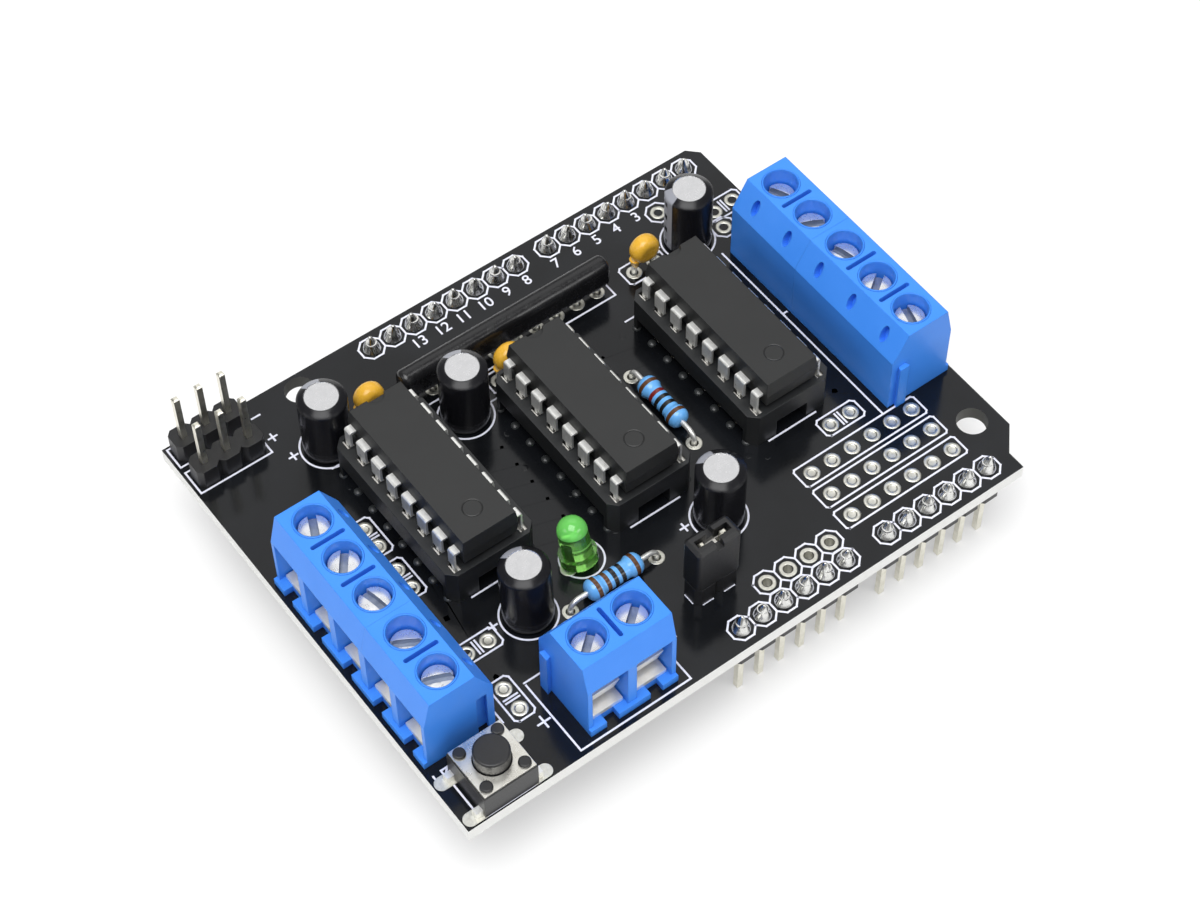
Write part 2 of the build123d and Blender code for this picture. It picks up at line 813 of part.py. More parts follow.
# ---------------------------------------------------------------- resistor network
network_length = pitch * (network_pins - 1) + 2 * network_overhang
network_middle = network_x - pitch * (network_pins - 1) / 2
with BuildPart() as network_body:
    bar = Plane.YZ.offset(-network_length / 2)
    with BuildSketch(bar):
        with Locations((0, (network_top + network_lift) / 2)):
            RectangleRounded(
                network_thickness, network_top - network_lift, network_thickness / 2 - 0.05)
    extrude(amount=network_length)
    ends = network_body.faces().filter_by(Axis.X)
    fillet(ends.edges(), 0.6)
with BuildPart() as network_bar:
    with Locations(place(network_middle, network_y)):
        add(network_body.part)
with BuildPart() as network_wires:
    with Locations(*[place(x, y) for x, y in network_places]):
        with Locations((0, 0, network_shoulder)):
            Box(network_shoulder, network_lead_thickness, 1.3 * network_shoulder)
        with Locations((0, 0, -board_thickness - lead_tail)):
            Cylinder(
                lead_radius, board_thickness + lead_tail + network_shoulder / 2,
                align=(Align.CENTER, Align.CENTER, Align.MIN))
    add(network_bar.part, mode=Mode.SUBTRACT)
write_node("resistor_network", network_bar.part, network_wires.part)

# ---------------------------------------------------------------- indicator lamp
lamp_pose = place(*lamp_place, lamp_lift) * Location((0, 0, 0), (-lamp_lean, lamp_side_lean, 0))
with BuildPart() as lamp_lens:
    radius = lamp_diameter / 2
    with BuildSketch(Plane.XZ):
        with BuildLine():
            Polyline(
                (0, lamp_height), (0, 0), (lamp_flange_diameter / 2, 0),
                (lamp_flange_diameter / 2, lamp_flange), (radius, lamp_flange),
                (radius, lamp_height - radius),
            )
            ThreePointArc(
                (radius, lamp_height - radius),
                (radius * 0.5 ** 0.5, lamp_height - radius + radius * 0.5 ** 0.5),
                (0, lamp_height),
            )
        make_face()
    revolve(axis=Axis.Z)
with BuildPart() as lamp_frame:
    with Locations((-pitch / 2 + 0.35, 0, lamp_frame_height / 2)):
        Box(0.9, 0.45, lamp_frame_height)
    with Locations((pitch / 2 - 0.1, 0, lamp_frame_height / 2)):
        Box(0.45, 0.45, lamp_frame_height)
with BuildPart() as lens:
    with Locations(lamp_pose):
        add(lamp_lens.part)
        add(lamp_frame.part, mode=Mode.SUBTRACT)
with BuildPart() as frame_inside:
    with Locations(lamp_pose):
        add(lamp_frame.part)
with BuildPart() as lamp_wires:
    with Locations(*[place(x, y, -board_thickness - lead_tail) for x, y in lamp_leads]):
        Cylinder(
            lead_radius, board_thickness + lead_tail + lamp_lift + 0.5,
            align=(Align.CENTER, Align.CENTER, Align.MIN))
    with Locations(lamp_pose):
        add(lamp_lens.part, mode=Mode.SUBTRACT)
write_node("indicator_lamp", lens.part, frame_inside.part, lamp_wires.part)

# ---------------------------------------------------------------- resistors
with BuildPart() as resistor_shell:
    half = resistor_body / 2
    cap = half - resistor_cap
    with BuildSketch(Plane.XZ) as shell_section:
        with BuildLine():
            Polyline(
                (-half, 0), (-half, resistor_diameter / 2), (-cap, resistor_diameter / 2),
                (-cap + 0.4, resistor_waist / 2), (cap - 0.4, resistor_waist / 2),
                (cap, resistor_diameter / 2), (half, resistor_diameter / 2), (half, 0), close=True,
            )
        make_face()
        ends = shell_section.vertices().filter_by(lambda v: abs(v.X) > half - 0.01 and v.Y > 0.5)
        fillet(ends, 0.75)
    revolve(axis=Axis.X)

with BuildPart() as resistor_wires:
    for side in (-1, 1):
        with BuildLine() as route:
            FilletPolyline(
                (side * resistor_body / 2, 0, 0),
                (side * resistor_span / 2, 0, 0),
                (side * resistor_span / 2, 0, -resistor_height - board_thickness - lead_tail),
                radius=resistor_bend,
            )
        with BuildSketch(Plane(origin=route.line @ 0, z_dir=(side, 0, 0))):
            Circle(lead_radius)
        sweep(path=route.line)

with BuildPart() as resistor_bodies:
    with Locations(*[place(x, y, resistor_height, turn) for x, y, turn in resistors_at]):
        add(resistor_shell.part)
with BuildPart() as resistor_leads_both:
    with Locations(*[place(x, y, resistor_height, turn) for x, y, turn in resistors_at]):
        add(resistor_wires.part)
write_node("resistors", resistor_bodies.part, resistor_leads_both.part)

# ---------------------------------------------------------------- reset switch
rivet = switch_size / 2 - switch_rivet_inset
chamber_radius = switch_flange_radius + switch_chamber_clearance
cover_top = switch_base_height + switch_cover_thickness

with BuildPart() as switch_base:
    with Locations(place(*switch_place)):
        Box(
            switch_size, switch_size, switch_base_height,
            align=(Align.CENTER, Align.CENTER, Align.MIN))
        with Locations((0, 0, switch_chamber_floor)):
            Cylinder(
                chamber_radius, switch_base_height, mode=Mode.SUBTRACT,
                align=(Align.CENTER, Align.CENTER, Align.MIN))
        with Locations((0, 0, switch_base_height)):
            with GridLocations(2 * rivet, 2 * rivet, 2, 2):
                Cylinder(
                    switch_rivet_radius, switch_cover_thickness + switch_rivet_rise,
                    align=(Align.CENTER, Align.CENTER, Align.MIN))
        # seats of the four legs in the side walls
        for side in (-1, 1):
            for end in (-1, 1):
                with Locations((side * switch_leg_x, end * switch_leg_y, 0)):
                    Box(
                        switch_leg_thickness + 2 * (switch_leg_x - switch_size / 2),
                        switch_leg_width, switch_leg_height, mode=Mode.SUBTRACT,
                        align=(Align.CENTER, Align.CENTER, Align.MIN))
    fillet(switch_base.edges().sort_by(Axis.Z)[-4:], 0.15)
switch_base.part.label = "switch_base"
export_step(switch_base.part, "parts/switch_base.step")

with BuildPart() as switch_cover:
    with Locations(place(*switch_place, switch_base_height)):
        Box(
            switch_cover_size, switch_cover_size, switch_cover_thickness,
            align=(Align.CENTER, Align.CENTER, Align.MIN))
        Cylinder(
            switch_button_radius + switch_button_clearance, 4 * switch_cover_thickness,
            mode=Mode.SUBTRACT)
        with GridLocations(2 * rivet, 2 * rivet, 2, 2):
            Cylinder(switch_rivet_radius, 4 * switch_cover_thickness, mode=Mode.SUBTRACT)
switch_cover.part.label = "switch_cover"
export_step(switch_cover.part, "parts/switch_cover.step")

with BuildPart() as switch_button:
    with Locations(place(*switch_place, switch_flange_bottom)):
        Cylinder(
            switch_flange_radius, switch_flange_thickness,
            align=(Align.CENTER, Align.CENTER, Align.MIN))
        Cylinder(
            switch_button_radius, switch_button_top - switch_flange_bottom,
            align=(Align.CENTER, Align.CENTER, Align.MIN))
    fillet(switch_button.edges().sort_by(Axis.Z)[-1], 0.2)
switch_button.part.label = "switch_button"
export_step(switch_button.part, "parts/switch_button.step")

with BuildPart() as switch_spring:
    with BuildSketch(Plane.XZ):
        with BuildLine():
            Polyline(
                (0, switch_dome_rise), (0, 0), (switch_dome_radius, 0),
                (switch_dome_radius, switch_dome_thickness),
                (0.6 * switch_dome_radius, 0.85 * switch_dome_rise), close=True)
        make_face()
    revolve(axis=Axis.Z)
with BuildPart() as switch_dome:
    with Locations(place(*switch_place, switch_chamber_floor)):
        add(switch_spring.part)
switch_dome.part.label = "switch_dome"
export_step(switch_dome.part, "parts/switch_dome.step")

with BuildPart() as switch_legs:
    leg_thickness = switch_leg_thickness + 2 * (switch_leg_x - switch_size / 2)
    with Locations(*[place(x, y) for x, y in switch_leads]):
        Box(
            leg_thickness, switch_leg_width, switch_leg_height,
            align=(Align.CENTER, Align.CENTER, Align.MIN))
        with Locations((0, 0, -board_thickness - lead_tail)):
            Cylinder(
                lead_radius, board_thickness + lead_tail,
                align=(Align.CENTER, Align.CENTER, Align.MIN))
switch_legs.part.label = "switch_legs"
export_step(switch_legs.part, "parts/switch_legs.step")

# ---------------------------------------------------------------- supply jumper
shunt_height = shunt_top - shunt_bottom
pin_gap = pin_size / 2 + shunt_fit
leaf_outer = pin_size / 2 + shunt_fit / 2 + shunt_spring
with BuildPart() as shunt_shell:
    with BuildSketch(Plane.XY.offset(shunt_bottom)):
        RectangleRounded(2 * pitch, pitch, shunt_edge + 0.1)
    extrude(amount=shunt_height)
    chamfer(shunt_shell.faces().sort_by(Axis.Z)[-1].edges(), shunt_edge)
    # cavity from below, then the pins' slot and a cross groove through the roof
    with Locations((0, 0, shunt_bottom)):
        Box(
            shunt_spring_length + 0.1, 2 * leaf_outer, shunt_height - shunt_roof,
            align=(Align.CENTER, Align.CENTER, Align.MIN), mode=Mode.SUBTRACT)
    with Locations((0, 0, shunt_top)):
        Box(pitch + 2 * pin_gap + 0.4, 2 * pin_gap, 2 * shunt_roof + 0.2, mode=Mode.SUBTRACT)
        Box(shunt_cross, 2 * pitch, 2 * shunt_cross_depth, mode=Mode.SUBTRACT)

with BuildPart() as shunt_leaves:
    middle = (shunt_spring_bottom + shunt_spring_top) / 2
    for side in (-1, 1):
        with Locations((0, side * (leaf_outer - shunt_spring / 2), middle)):
            Box(shunt_spring_length, shunt_spring, shunt_spring_top - shunt_spring_bottom)
    with Locations((0, 0, shunt_spring_top - shunt_spring / 2)):
        Box(pitch - 2 * pin_gap - 0.6, 2 * leaf_outer, shunt_spring)

for name, source in (("jumper_cap", shunt_shell), ("jumper_spring", shunt_leaves)):
    with BuildPart() as piece:
        with Locations(place(jumper_x, jumper_y)):
            add(source.part)
    piece.part.label = name
    export_step(piece.part, f"parts/{name}.step")

# ---------------------------------------------------------------- solder joints


def solder(inside, square, radius=solder_radius):
    """Solder cone standing on Z = 0 about a lead of a given half size."""
    with BuildPart() as piece:
        with BuildSketch(Plane.XZ):
            with BuildLine():
                edge = inside + 0.16
                Polyline((0, solder_height), (0, 0), (radius, 0), (radius, 0.08))
                ThreePointArc(
                    (radius, 0.08),
                    (edge + 0.28 * (radius - edge), 0.36 * solder_height),
                    (edge, solder_height),
                )
                Line((edge, solder_height), (0, solder_height))
            make_face()
        revolve(axis=Axis.Z)
        with BuildSketch():
            if square:
                Rectangle(2 * square, 2 * square)
            else:
                Circle(inside)
        extrude(amount=solder_height, mode=Mode.SUBTRACT)
    return piece.part


pin_joint = solder(pin_size / 2 + 0.1, pin_size / 2 + solder_gap)
contact_joint = solder(contact_pin / 2 + 0.15, contact_pin / 2 + solder_gap, solder_radius + 0.3)
thin_joint = solder(lead_radius + solder_gap, 0)
with BuildPart() as solder_joints:
    with Locations(*[place(x, y) for x, y in header_places]):
        add(pin_joint)
    for places, joint in (
        (servo_places + jumper_places, pin_joint),
        (terminal_places, contact_joint),
        (thin_leads, thin_joint),
    ):
        with BuildPart(mode=Mode.PRIVATE) as upside_down:
            add(joint, rotation=(180, 0, 0))
        with Locations(*[place(x, y, -board_thickness) for x, y in places]):
            add(upside_down.part)
solder_joints.part.label = "solder_joints"
export_step(solder_joints.part, "parts/solder_joints.step")
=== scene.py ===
# %% [markdown]
# # Servo driver board
# A stacking circuit board carries three driver chips in sockets, twelve screw
# terminals, servo headers, a jumper and a reset switch. The solid shapes come in
# ready made and stay where they are. This lesson adds what makes them look real:
# solder pads, printed lines, moulded plastic, tin, lacquer and soft studio light.

# %% Load the frame
from math import atan2, cos, hypot, pi, radians, sin

import bmesh
import bpy
from mathutils import Matrix, Vector


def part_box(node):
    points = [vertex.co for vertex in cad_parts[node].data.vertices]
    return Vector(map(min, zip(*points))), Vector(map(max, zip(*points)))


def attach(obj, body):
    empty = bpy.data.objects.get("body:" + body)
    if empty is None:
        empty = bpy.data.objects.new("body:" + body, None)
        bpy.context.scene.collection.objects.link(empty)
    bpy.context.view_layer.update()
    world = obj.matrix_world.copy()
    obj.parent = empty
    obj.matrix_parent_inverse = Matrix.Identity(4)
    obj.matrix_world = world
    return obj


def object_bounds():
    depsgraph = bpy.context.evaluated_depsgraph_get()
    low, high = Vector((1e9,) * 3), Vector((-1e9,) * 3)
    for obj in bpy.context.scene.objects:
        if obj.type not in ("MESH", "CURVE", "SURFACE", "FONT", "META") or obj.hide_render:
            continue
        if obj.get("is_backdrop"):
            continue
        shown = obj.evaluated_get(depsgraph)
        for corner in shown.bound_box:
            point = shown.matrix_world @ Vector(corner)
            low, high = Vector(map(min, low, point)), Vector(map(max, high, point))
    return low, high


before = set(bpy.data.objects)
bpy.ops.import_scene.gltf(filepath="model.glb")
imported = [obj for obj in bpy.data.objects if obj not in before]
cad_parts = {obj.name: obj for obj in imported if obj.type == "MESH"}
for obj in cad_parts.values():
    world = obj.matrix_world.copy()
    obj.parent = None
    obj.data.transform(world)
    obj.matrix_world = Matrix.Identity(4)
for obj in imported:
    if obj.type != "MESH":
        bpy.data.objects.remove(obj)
cad_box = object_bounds()
scene = bpy.context.scene

# %% [markdown]
# ## Where things are
# Everything on a board is drilled on one grid, so it pays to think in that grid. Its
# zero point lies a little outside the front left corner. A small function turns grid
# millimetres, and a height above the board's top, into the scene's metres. Places that
# several steps use get their names here.

# %% Grid places
mm = 0.001
board_low, board_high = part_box("circuit_board")
board_top = board_high[2]
board_bottom = board_low[2]
board_thick = 1.6
corner_x, corner_y = 0.35, 0.45  # the board's front left corner on the grid
grid_x = board_low[0] - corner_x * mm
grid_y = board_low[1] - corner_y * mm
pitch = 2.54


def at(x, y, z=0.0):
    """A point from grid millimetres and millimetres above the board."""
    return Vector((grid_x + x * mm, grid_y + y * mm, board_top + z * mm))


def row(x, y, count):
    """Places one pitch apart along X."""
    return [(x + pitch * k, y) for k in range(count)]


header_rows = [(23.876, 50.8, 8), (45.72, 50.8, 8), (33.02, 2.54, 6), (50.8, 2.54, 6)]
open_row = (38.1, 5.03, 4)
jumper_row = (32.35, 8.0, 2)
servo_rows = [(2.3, 47.5, 3), (2.3, 51.3, 3)]
chips = {"left": (17.78, 30.65), "middle": (34.55, 27.94), "right": (51.51, 27.94)}
cans = {
    "front_left": (18.03, 15.75),
    "middle": (26.6, 38.2),
    "back_left": (13.8, 43.45),
    "back_right": (57.95, 42.9),
    "front_middle": (39.2, 13.8),
}
discs = [(52.12, 42.7), (19.2, 44.0), (33.0, 39.75)]
mounting_holes = [(66.04, 7.62), (15.24, 50.8)]
lamp_place = (25.3, 17.6)
resistor_front_place, resistor_middle_place = (26.4, 13.6), (42.56, 27.1)
resistor_axis = 1.35  # height above the board
terminal_top = 10.2
print("board top at", round(board_top / mm, 2), "mm")
print("grid zero at", round(grid_x / mm, 2), round(grid_y / mm, 2), "mm")

# %% [markdown]
# ## A short way to write shaders
# A material is a graph of nodes. Wired by hand it soon hides its own idea, so one small
# class wraps an output socket and lets ordinary arithmetic add the Math nodes, and one
# method makes any other node from its type, its settings and its inputs.

# %% Shader helpers


class Socket:
    """An output socket that takes ordinary arithmetic."""

    def __init__(self, paint, socket):
        self.paint = paint
        self.socket = socket

    def math(self, operation, *values):
        """A Math node with this socket first, then the other values."""
        inputs = dict(enumerate((self, *values)))
        return self.paint.node("ShaderNodeMath", {"operation": operation}, inputs)

    def __add__(self, other):
        return self.math("ADD", other)

    def __sub__(self, other):
        return self.math("SUBTRACT", other)

    def __rsub__(self, other):
        return self.math("MULTIPLY", -1.0).math("ADD", other)

    def __mul__(self, other):
        return self.math("MULTIPLY", other)

    def __truediv__(self, other):
        return self.math("DIVIDE", other)

    __radd__ = __add__
    __rmul__ = __mul__

    def absolute(self):
        return self.math("ABSOLUTE")

    def larger(self, other):
        return self.math("MAXIMUM", other)

    def clipped(self, low, high):
        """Runs from 0 at low to 1 at high."""
        return self.paint.node(
            "ShaderNodeMapRange", {"clamp": True}, {0: self, 1: low, 2: high, 3: 0.0, 4: 1.0})


class Paint:
    """A material under construction."""

    def __init__(self, name):
        self.material = bpy.data.materials.new(name)
        self.material.use_nodes = True
        self.tree = self.material.node_tree
        self.tree.nodes.clear()

    def node(self, kind, settings=None, inputs=None, output=0):
        """Any node, from its settings and its inputs; gives one of its outputs."""
        node = self.tree.nodes.new(kind)
        for key, value in (settings or {}).items():
            setattr(node, key, value)
        for key, value in (inputs or {}).items():
            if isinstance(value, Socket):
                self.tree.links.new(value.socket, node.inputs[key])
            else:
                node.inputs[key].default_value = value
        return Socket(self, node.outputs[output])

    def where(self, centre=(0, 0, 0), turn=0.0):
        """Object coordinates counted from a centre, in metres."""
        spot = self.node("ShaderNodeTexCoord", output="Object")
        return self.node(
            "ShaderNodeMapping", {"vector_type": "TEXTURE"},
            {"Vector": spot, "Location": tuple(centre), "Rotation": (0, 0, turn)})

    def xyz(self, vector):
        """The three numbers of a vector."""
        split = self.node("ShaderNodeSeparateXYZ", None, {0: vector}).socket.node
        return [Socket(self, split.outputs[k]) for k in range(3)]

    def noise(self, size_mm, detail=2.0, roughness=0.5):
        """Soft noise from 0 to 1 whose blobs are about size_mm across."""
        inputs = {"Vector": self.where(), "Scale": 1 / (size_mm * mm)}
        inputs.update({"Detail": detail, "Roughness": roughness})
        return self.node("ShaderNodeTexNoise", None, inputs)

    def mix(self, factor, first, second):
        """Colour from first to second; a Mix node keeps its colours in inputs 6 and 7."""
        inputs = {0: factor}
        for index, value in ((6, first), (7, second)):
            inputs[index] = value if isinstance(value, Socket) else (*value, 1)
        return self.node("ShaderNodeMix", {"data_type": "RGBA"}, inputs, output=2)

    def bump(self, height, depth_mm, strength, normal=None):
        """Normals bent by a height from 0 to 1 that stands for depth_mm."""
        inputs = {"Height": height, "Distance": depth_mm * mm, "Strength": strength}
        if normal:
            inputs["Normal"] = normal
        return self.node("ShaderNodeBump", None, inputs)

    def rounded(self, radius_mm):
        """Normals that turn round an edge, as a moulded or rolled edge does."""
        return self.node("ShaderNodeBevel", {"samples": 4}, {"Radius": radius_mm * mm})

    def finish(self, **inputs):
        """Principled surface; names use _ for a space."""
        named = {}
        for key, value in inputs.items():
            if key in ("Base_Color", "Emission_Color") and not isinstance(value, Socket):
                value = (*value, 1)
            named[key.replace("_", " ")] = value
        return self.output(self.node("ShaderNodeBsdfPrincipled", None, named))

    def output(self, surface):
        end = self.tree.nodes.new("ShaderNodeOutputMaterial")
        self.tree.links.new(surface.socket, end.inputs["Surface"])
        return self.material


print("shader helpers ready")

# %% [markdown]
# ## Black solder mask
# The mask is a thin lacquer over copper and glass cloth. It is nearly black and glossy,
# but never a mirror: it pulls back over the tracks and has a faint orange-peel. Two
# noises, one wide and one fine, bend the surface and vary the gloss.

# %% Solder mask
paint = Paint("black_solder_mask")
wide = paint.noise(6.0, 2.0)
fine = paint.noise(0.25, 3.0)
bent = paint.bump(wide * 0.6 + fine * 0.06, 0.05, 0.35)
solder_mask = paint.finish(
    Base_Color=paint.mix(wide.clipped(0.35, 0.7), (0.004, 0.0045, 0.0055), (0.008, 0.009, 0.011)),
    Roughness=fine.clipped(0.3, 0.8) * 0.08 + 0.12,
    Specular_IOR_Level=0.34,
    Normal=bent,
)
print("made", solder_mask.name)

# %% [markdown]
# ## The sawn edge of the board
# Round the outline the mask ends and the glass-epoxy laminate shows, pale grey, with
# layers of glass cloth and a rough routed skin. Its stripes follow the height.

# %% Laminate edge
paint = Paint("laminate_edge")
height = paint.xyz(paint.where((0, 0, board_bottom)))[2]
cloth = 0.032  # mm for each radian of the wave, so a layer is 0.2 mm thick
grain = paint.noise(0.12, 4.0, 0.7)
layers = (height / (cloth * mm)).math("SINE") * 0.5 + 0.5
mark = layers * 0.35 + grain * 0.65
laminate = paint.finish(
    Base_Color=paint.mix(mark.clipped(0.25, 0.8), (0.74, 0.74, 0.72), (0.96, 0.96, 0.94)),
    Roughness=mark * 0.25 + 0.55,
    Normal=paint.bump(mark, 0.04, 0.8),
)
print("made", laminate.name)

# %% [markdown]
# ## Metals
# Tin, solder, steel and aluminium are all grey metals. They differ in how rough they are
# and in what is left on them: flux dulls solder, drawing leaves lines on pins, and
# stamping leaves small dents. One function mixes those from a colour and two roughness
# limits.

# %% Metal finishes


def metal(name, dark, light, smooth, rough, blob=0.5, dent=0.02, edge=0.03, metallic=1.0):
    """Bare metal with blotches about blob mm wide and dents about dent mm deep."""
    paint = Paint(name)
    patches = paint.noise(blob, 3.0, 0.6)
    specks = paint.noise(blob / 6, 2.0)
    worn = patches * 0.7 + specks * 0.3
    return paint.finish(
        Base_Color=paint.mix(worn.clipped(0.35, 0.7), dark, light),
        Metallic=metallic,
        Roughness=worn.clipped(0.3, 0.75) * (rough - smooth) + smooth,
        Normal=paint.bump(patches + specks * 0.2, dent, 0.6, paint.rounded(edge)),
    )


pin_tin = metal(
    "pin_tin", (0.74, 0.72, 0.61), (0.90, 0.88, 0.79), 0.26, 0.42, blob=0.6, dent=0.004)
lead_tin = metal(
    "lead_tin", (0.80, 0.80, 0.77), (0.92, 0.92, 0.90), 0.26, 0.42,
    blob=0.4, dent=0.006, metallic=0.7)
solder_shine = metal(
    "solder_shine", (0.62, 0.62, 0.60), (0.88, 0.88, 0.86), 0.13, 0.27, blob=0.7, dent=0.010)
pad_tin = metal(
    "pad_tin", (0.62, 0.61, 0.54), (0.80, 0.79, 0.72), 0.36, 0.55, blob=0.35, dent=0.010)
screw_zinc = metal(
    "screw_zinc", (0.74, 0.75, 0.75), (0.90, 0.90, 0.90), 0.24, 0.34,
    blob=0.9, dent=0.002, edge=0.06, metallic=0.8)
slot_shade = metal(
    "slot_shade", (0.24, 0.28, 0.36), (0.36, 0.40, 0.48), 0.34, 0.5,
    blob=0.9, dent=0.002, edge=0.04, metallic=0.8)
clamp_nickel = metal(
    "clamp_nickel", (0.84, 0.82, 0.76), (0.95, 0.93, 0.88), 0.32, 0.46,
    blob=0.9, dent=0.002, metallic=0.6)
can_aluminium = metal(
    "can_aluminium", (0.60, 0.60, 0.61), (0.70, 0.70, 0.71), 0.2, 0.32, blob=0.8, dent=0.003)
cover_steel = metal(
    "cover_steel", (0.72, 0.70, 0.64), (0.86, 0.85, 0.79), 0.24, 0.34,
    blob=1.4, dent=0.002, edge=0.05)
print("materials after the metals:", len(bpy.data.materials))

# %% [markdown]
# ## Moulded plastics
# Moulded parts carry the fine texture of their tool, a softened edge and a slight sheen.
# The colour hardly changes over a piece, so most of the look is in the roughness and in
# the rounded edges that catch the light.

# %% Plastic finishes


def moulded(name, dark, light, smooth, rough, grain=0.12, depth=0.006, shine=0.5):
    """Moulded plastic, its tool texture grain mm wide and depth mm deep."""
    paint = Paint(name)
    cloud = paint.noise(3.0, 2.0)
    texture = paint.noise(grain, 2.0, 0.6)
    return paint.finish(
        Base_Color=paint.mix(cloud * 0.6 + texture * 0.4, dark, light),
        Roughness=texture.clipped(0.25, 0.75) * (rough - smooth) + smooth,
        Specular_IOR_Level=shine,
        Normal=paint.bump(texture, depth, 0.7, paint.rounded(0.12)),
    )


terminal_blue = moulded(
    "terminal_blue", (0.042, 0.236, 0.82), (0.068, 0.290, 0.92), 0.3, 0.42, shine=0.2)
header_black = moulded("header_black", (0.007, 0.007, 0.008), (0.014, 0.014, 0.015), 0.34, 0.5)
socket_black = moulded("socket_black", (0.009, 0.010, 0.011), (0.018, 0.019, 0.020), 0.34, 0.48)
switch_black = moulded("switch_black", (0.009, 0.009, 0.010), (0.016, 0.016, 0.017), 0.3, 0.45)
bung_rubber = moulded("bung_rubber", (0.012, 0.012, 0.012), (0.022, 0.022, 0.022), 0.6, 0.75)
network_black = moulded(
    "network_black", (0.006, 0.006, 0.007), (0.012, 0.012, 0.013), 0.2, 0.32,
    grain=1.2, depth=0.03)
# Painted shade: a mounting hole's wall is bare laminate, given dark grey for the shade inside the
# hole
hole_wall_shade = moulded(
    "hole_wall_shade", (0.05, 0.05, 0.046), (0.12, 0.12, 0.11), 0.5, 0.7, grain=0.2, depth=0.02)
disc_yellow = moulded(
    "disc_yellow", (0.72, 0.38, 0.030), (0.86, 0.50, 0.055), 0.2, 0.32, grain=0.5, depth=0.02)
print("materials after the plastics:", len(bpy.data.materials))

# %% [markdown]
# ## Chip resin
# A chip's body is resin full of ground glass, matt and very dark grey. The mould leaves
# one shallow ring where its ejector pin pushed, near the end away from the notch. The
# ring is a bump, made from the distance to its centre, so each chip has its own.

# %% Resin for one chip
resin_greys = ((0.010, 0.0105, 0.0105), (0.020, 0.0205, 0.0205))
ring_grey = (0.006, 0.006, 0.006)
ring_shift, ring_height = 6.7, 8.35  # from the chip's middle to the ring, and above the board
ring_radius, ring_half_width = 0.95, 0.09


def chip_resin(name, x, y):
    """Ground resin with the ejector ring of the chip that stands at x, y."""
    paint = Paint(name)
    px, py = paint.xyz(paint.where(at(x, y - ring_shift, ring_height)))[:2]
    ring = (px * px + py * py).math("SQRT")
    off_ring = (ring - ring_radius * mm).absolute() / (ring_half_width * mm)
    groove = 1 - off_ring.clipped(0.0, 1.0)
    grit = paint.noise(0.08, 2.0, 0.7)
    cloud = paint.noise(4.0, 2.0)
    height = grit * 0.25 - groove * 1.6
    grey = paint.mix(grit * 0.5 + cloud * 0.5, *resin_greys)
    return paint.finish(
        Base_Color=paint.mix(groove * 0.8, grey, ring_grey),
        Roughness=grit.clipped(0.2, 0.8) * 0.16 + 0.42 - groove * 0.12,
        Normal=paint.bump(height, 0.03, 0.8, paint.rounded(0.12)),
    )


resins = {key: chip_resin("chip_resin_" + key, x, y) for key, (x, y) in chips.items()}
print("chip resins:", sorted(resins))

# %% [markdown]
# ## Capacitor sleeves
# Each can wears a printed shrink sleeve: glossy black, with a paler stripe down the side
# of the negative lead and short dashes in it. The stripe is found from the angle round
# the can, so a sleeve needs its can's centre and the way its stripe faces.

# %% Sleeve for one can
stripe_turn = {
    "front_left": 88, "middle": 82, "back_left": 88, "back_right": 165, "front_middle": 100}
dash_pitch = 1.9


def sleeve(name, x, y, turn):
    """Shrink sleeve of the can at x, y whose stripe faces turn degrees."""
    paint = Paint(name)
    px, py, pz = paint.xyz(paint.where(at(x, y), radians(turn)))
    angle = py.math("ARCTAN2", px).absolute()
    stripe = 1 - angle.clipped(0.40, 0.44)
    dash_up = ((pz / (dash_pitch * mm)).math("FRACT") - 0.5).absolute()
    dash = (1 - angle.clipped(0.10, 0.13)) * (1 - dash_up.clipped(0.16, 0.19))
    film = paint.noise(1.6, 2.0)
    print_grey = paint.mix(stripe, (0.008, 0.008, 0.010), (0.30, 0.31, 0.35))
    return paint.finish(
        Base_Color=paint.mix(dash * stripe, print_grey, (0.010, 0.010, 0.012)),
        Roughness=film * 0.12 + 0.16,
        Specular_IOR_Level=0.3,
        Normal=paint.bump(film, 0.03, 0.5, paint.rounded(0.5)),
    )


sleeves = {key: sleeve("sleeve_" + key, x, y, stripe_turn[key]) for key, (x, y) in cans.items()}
print("sleeves:", sorted(sleeves))

# %% [markdown]
# ## Resistor lacquer
# A metal film resistor is dipped in pale blue lacquer and ringed with colour bands that
# give its value. The bands are steps along the body's axis. Both bodies share one node,
# so the finish is made once for each and chosen face by face.

# %% Banded lacquer
brown = (0.10, 0.040, 0.014)
black = (0.012, 0.012, 0.012)
red = (0.17, 0.012, 0.010)


def banded(name, centre, turn, bands):
    """Bands are (place along the body in mm, colour), each half a millimetre wide."""
    paint = Paint(name)
    along = paint.xyz(paint.where(centre, turn))[0]
    glaze = paint.noise(0.8, 2.0)
    colour = paint.mix(glaze, (0.11, 0.38, 0.80), (0.18, 0.48, 0.92))
    for place, tint in bands:
        edge = (along - place * mm).absolute()
        colour = paint.mix(1 - edge.clipped(0.21 * mm, 0.25 * mm), colour, tint)
    return paint.finish(
        Base_Color=colour,
        Roughness=glaze * 0.12 + 0.2,
        Coat_Weight=0.3,
        Normal=paint.bump(glaze, 0.05, 0.5),
    )


resistor_front = banded(
    "resistor_lacquer_front", at(*resistor_front_place, resistor_axis), 0.0,
    [(-2.2, brown), (-1.05, brown), (-0.2, black), (0.65, black), (2.2, brown)])
resistor_middle = banded(
    "resistor_lacquer_middle", at(*resistor_middle_place, resistor_axis), pi / 2,
    [(-2.2, brown), (-0.9, black), (0.0, black), (0.85, red), (2.2, brown)])
print("resistor finishes ready")
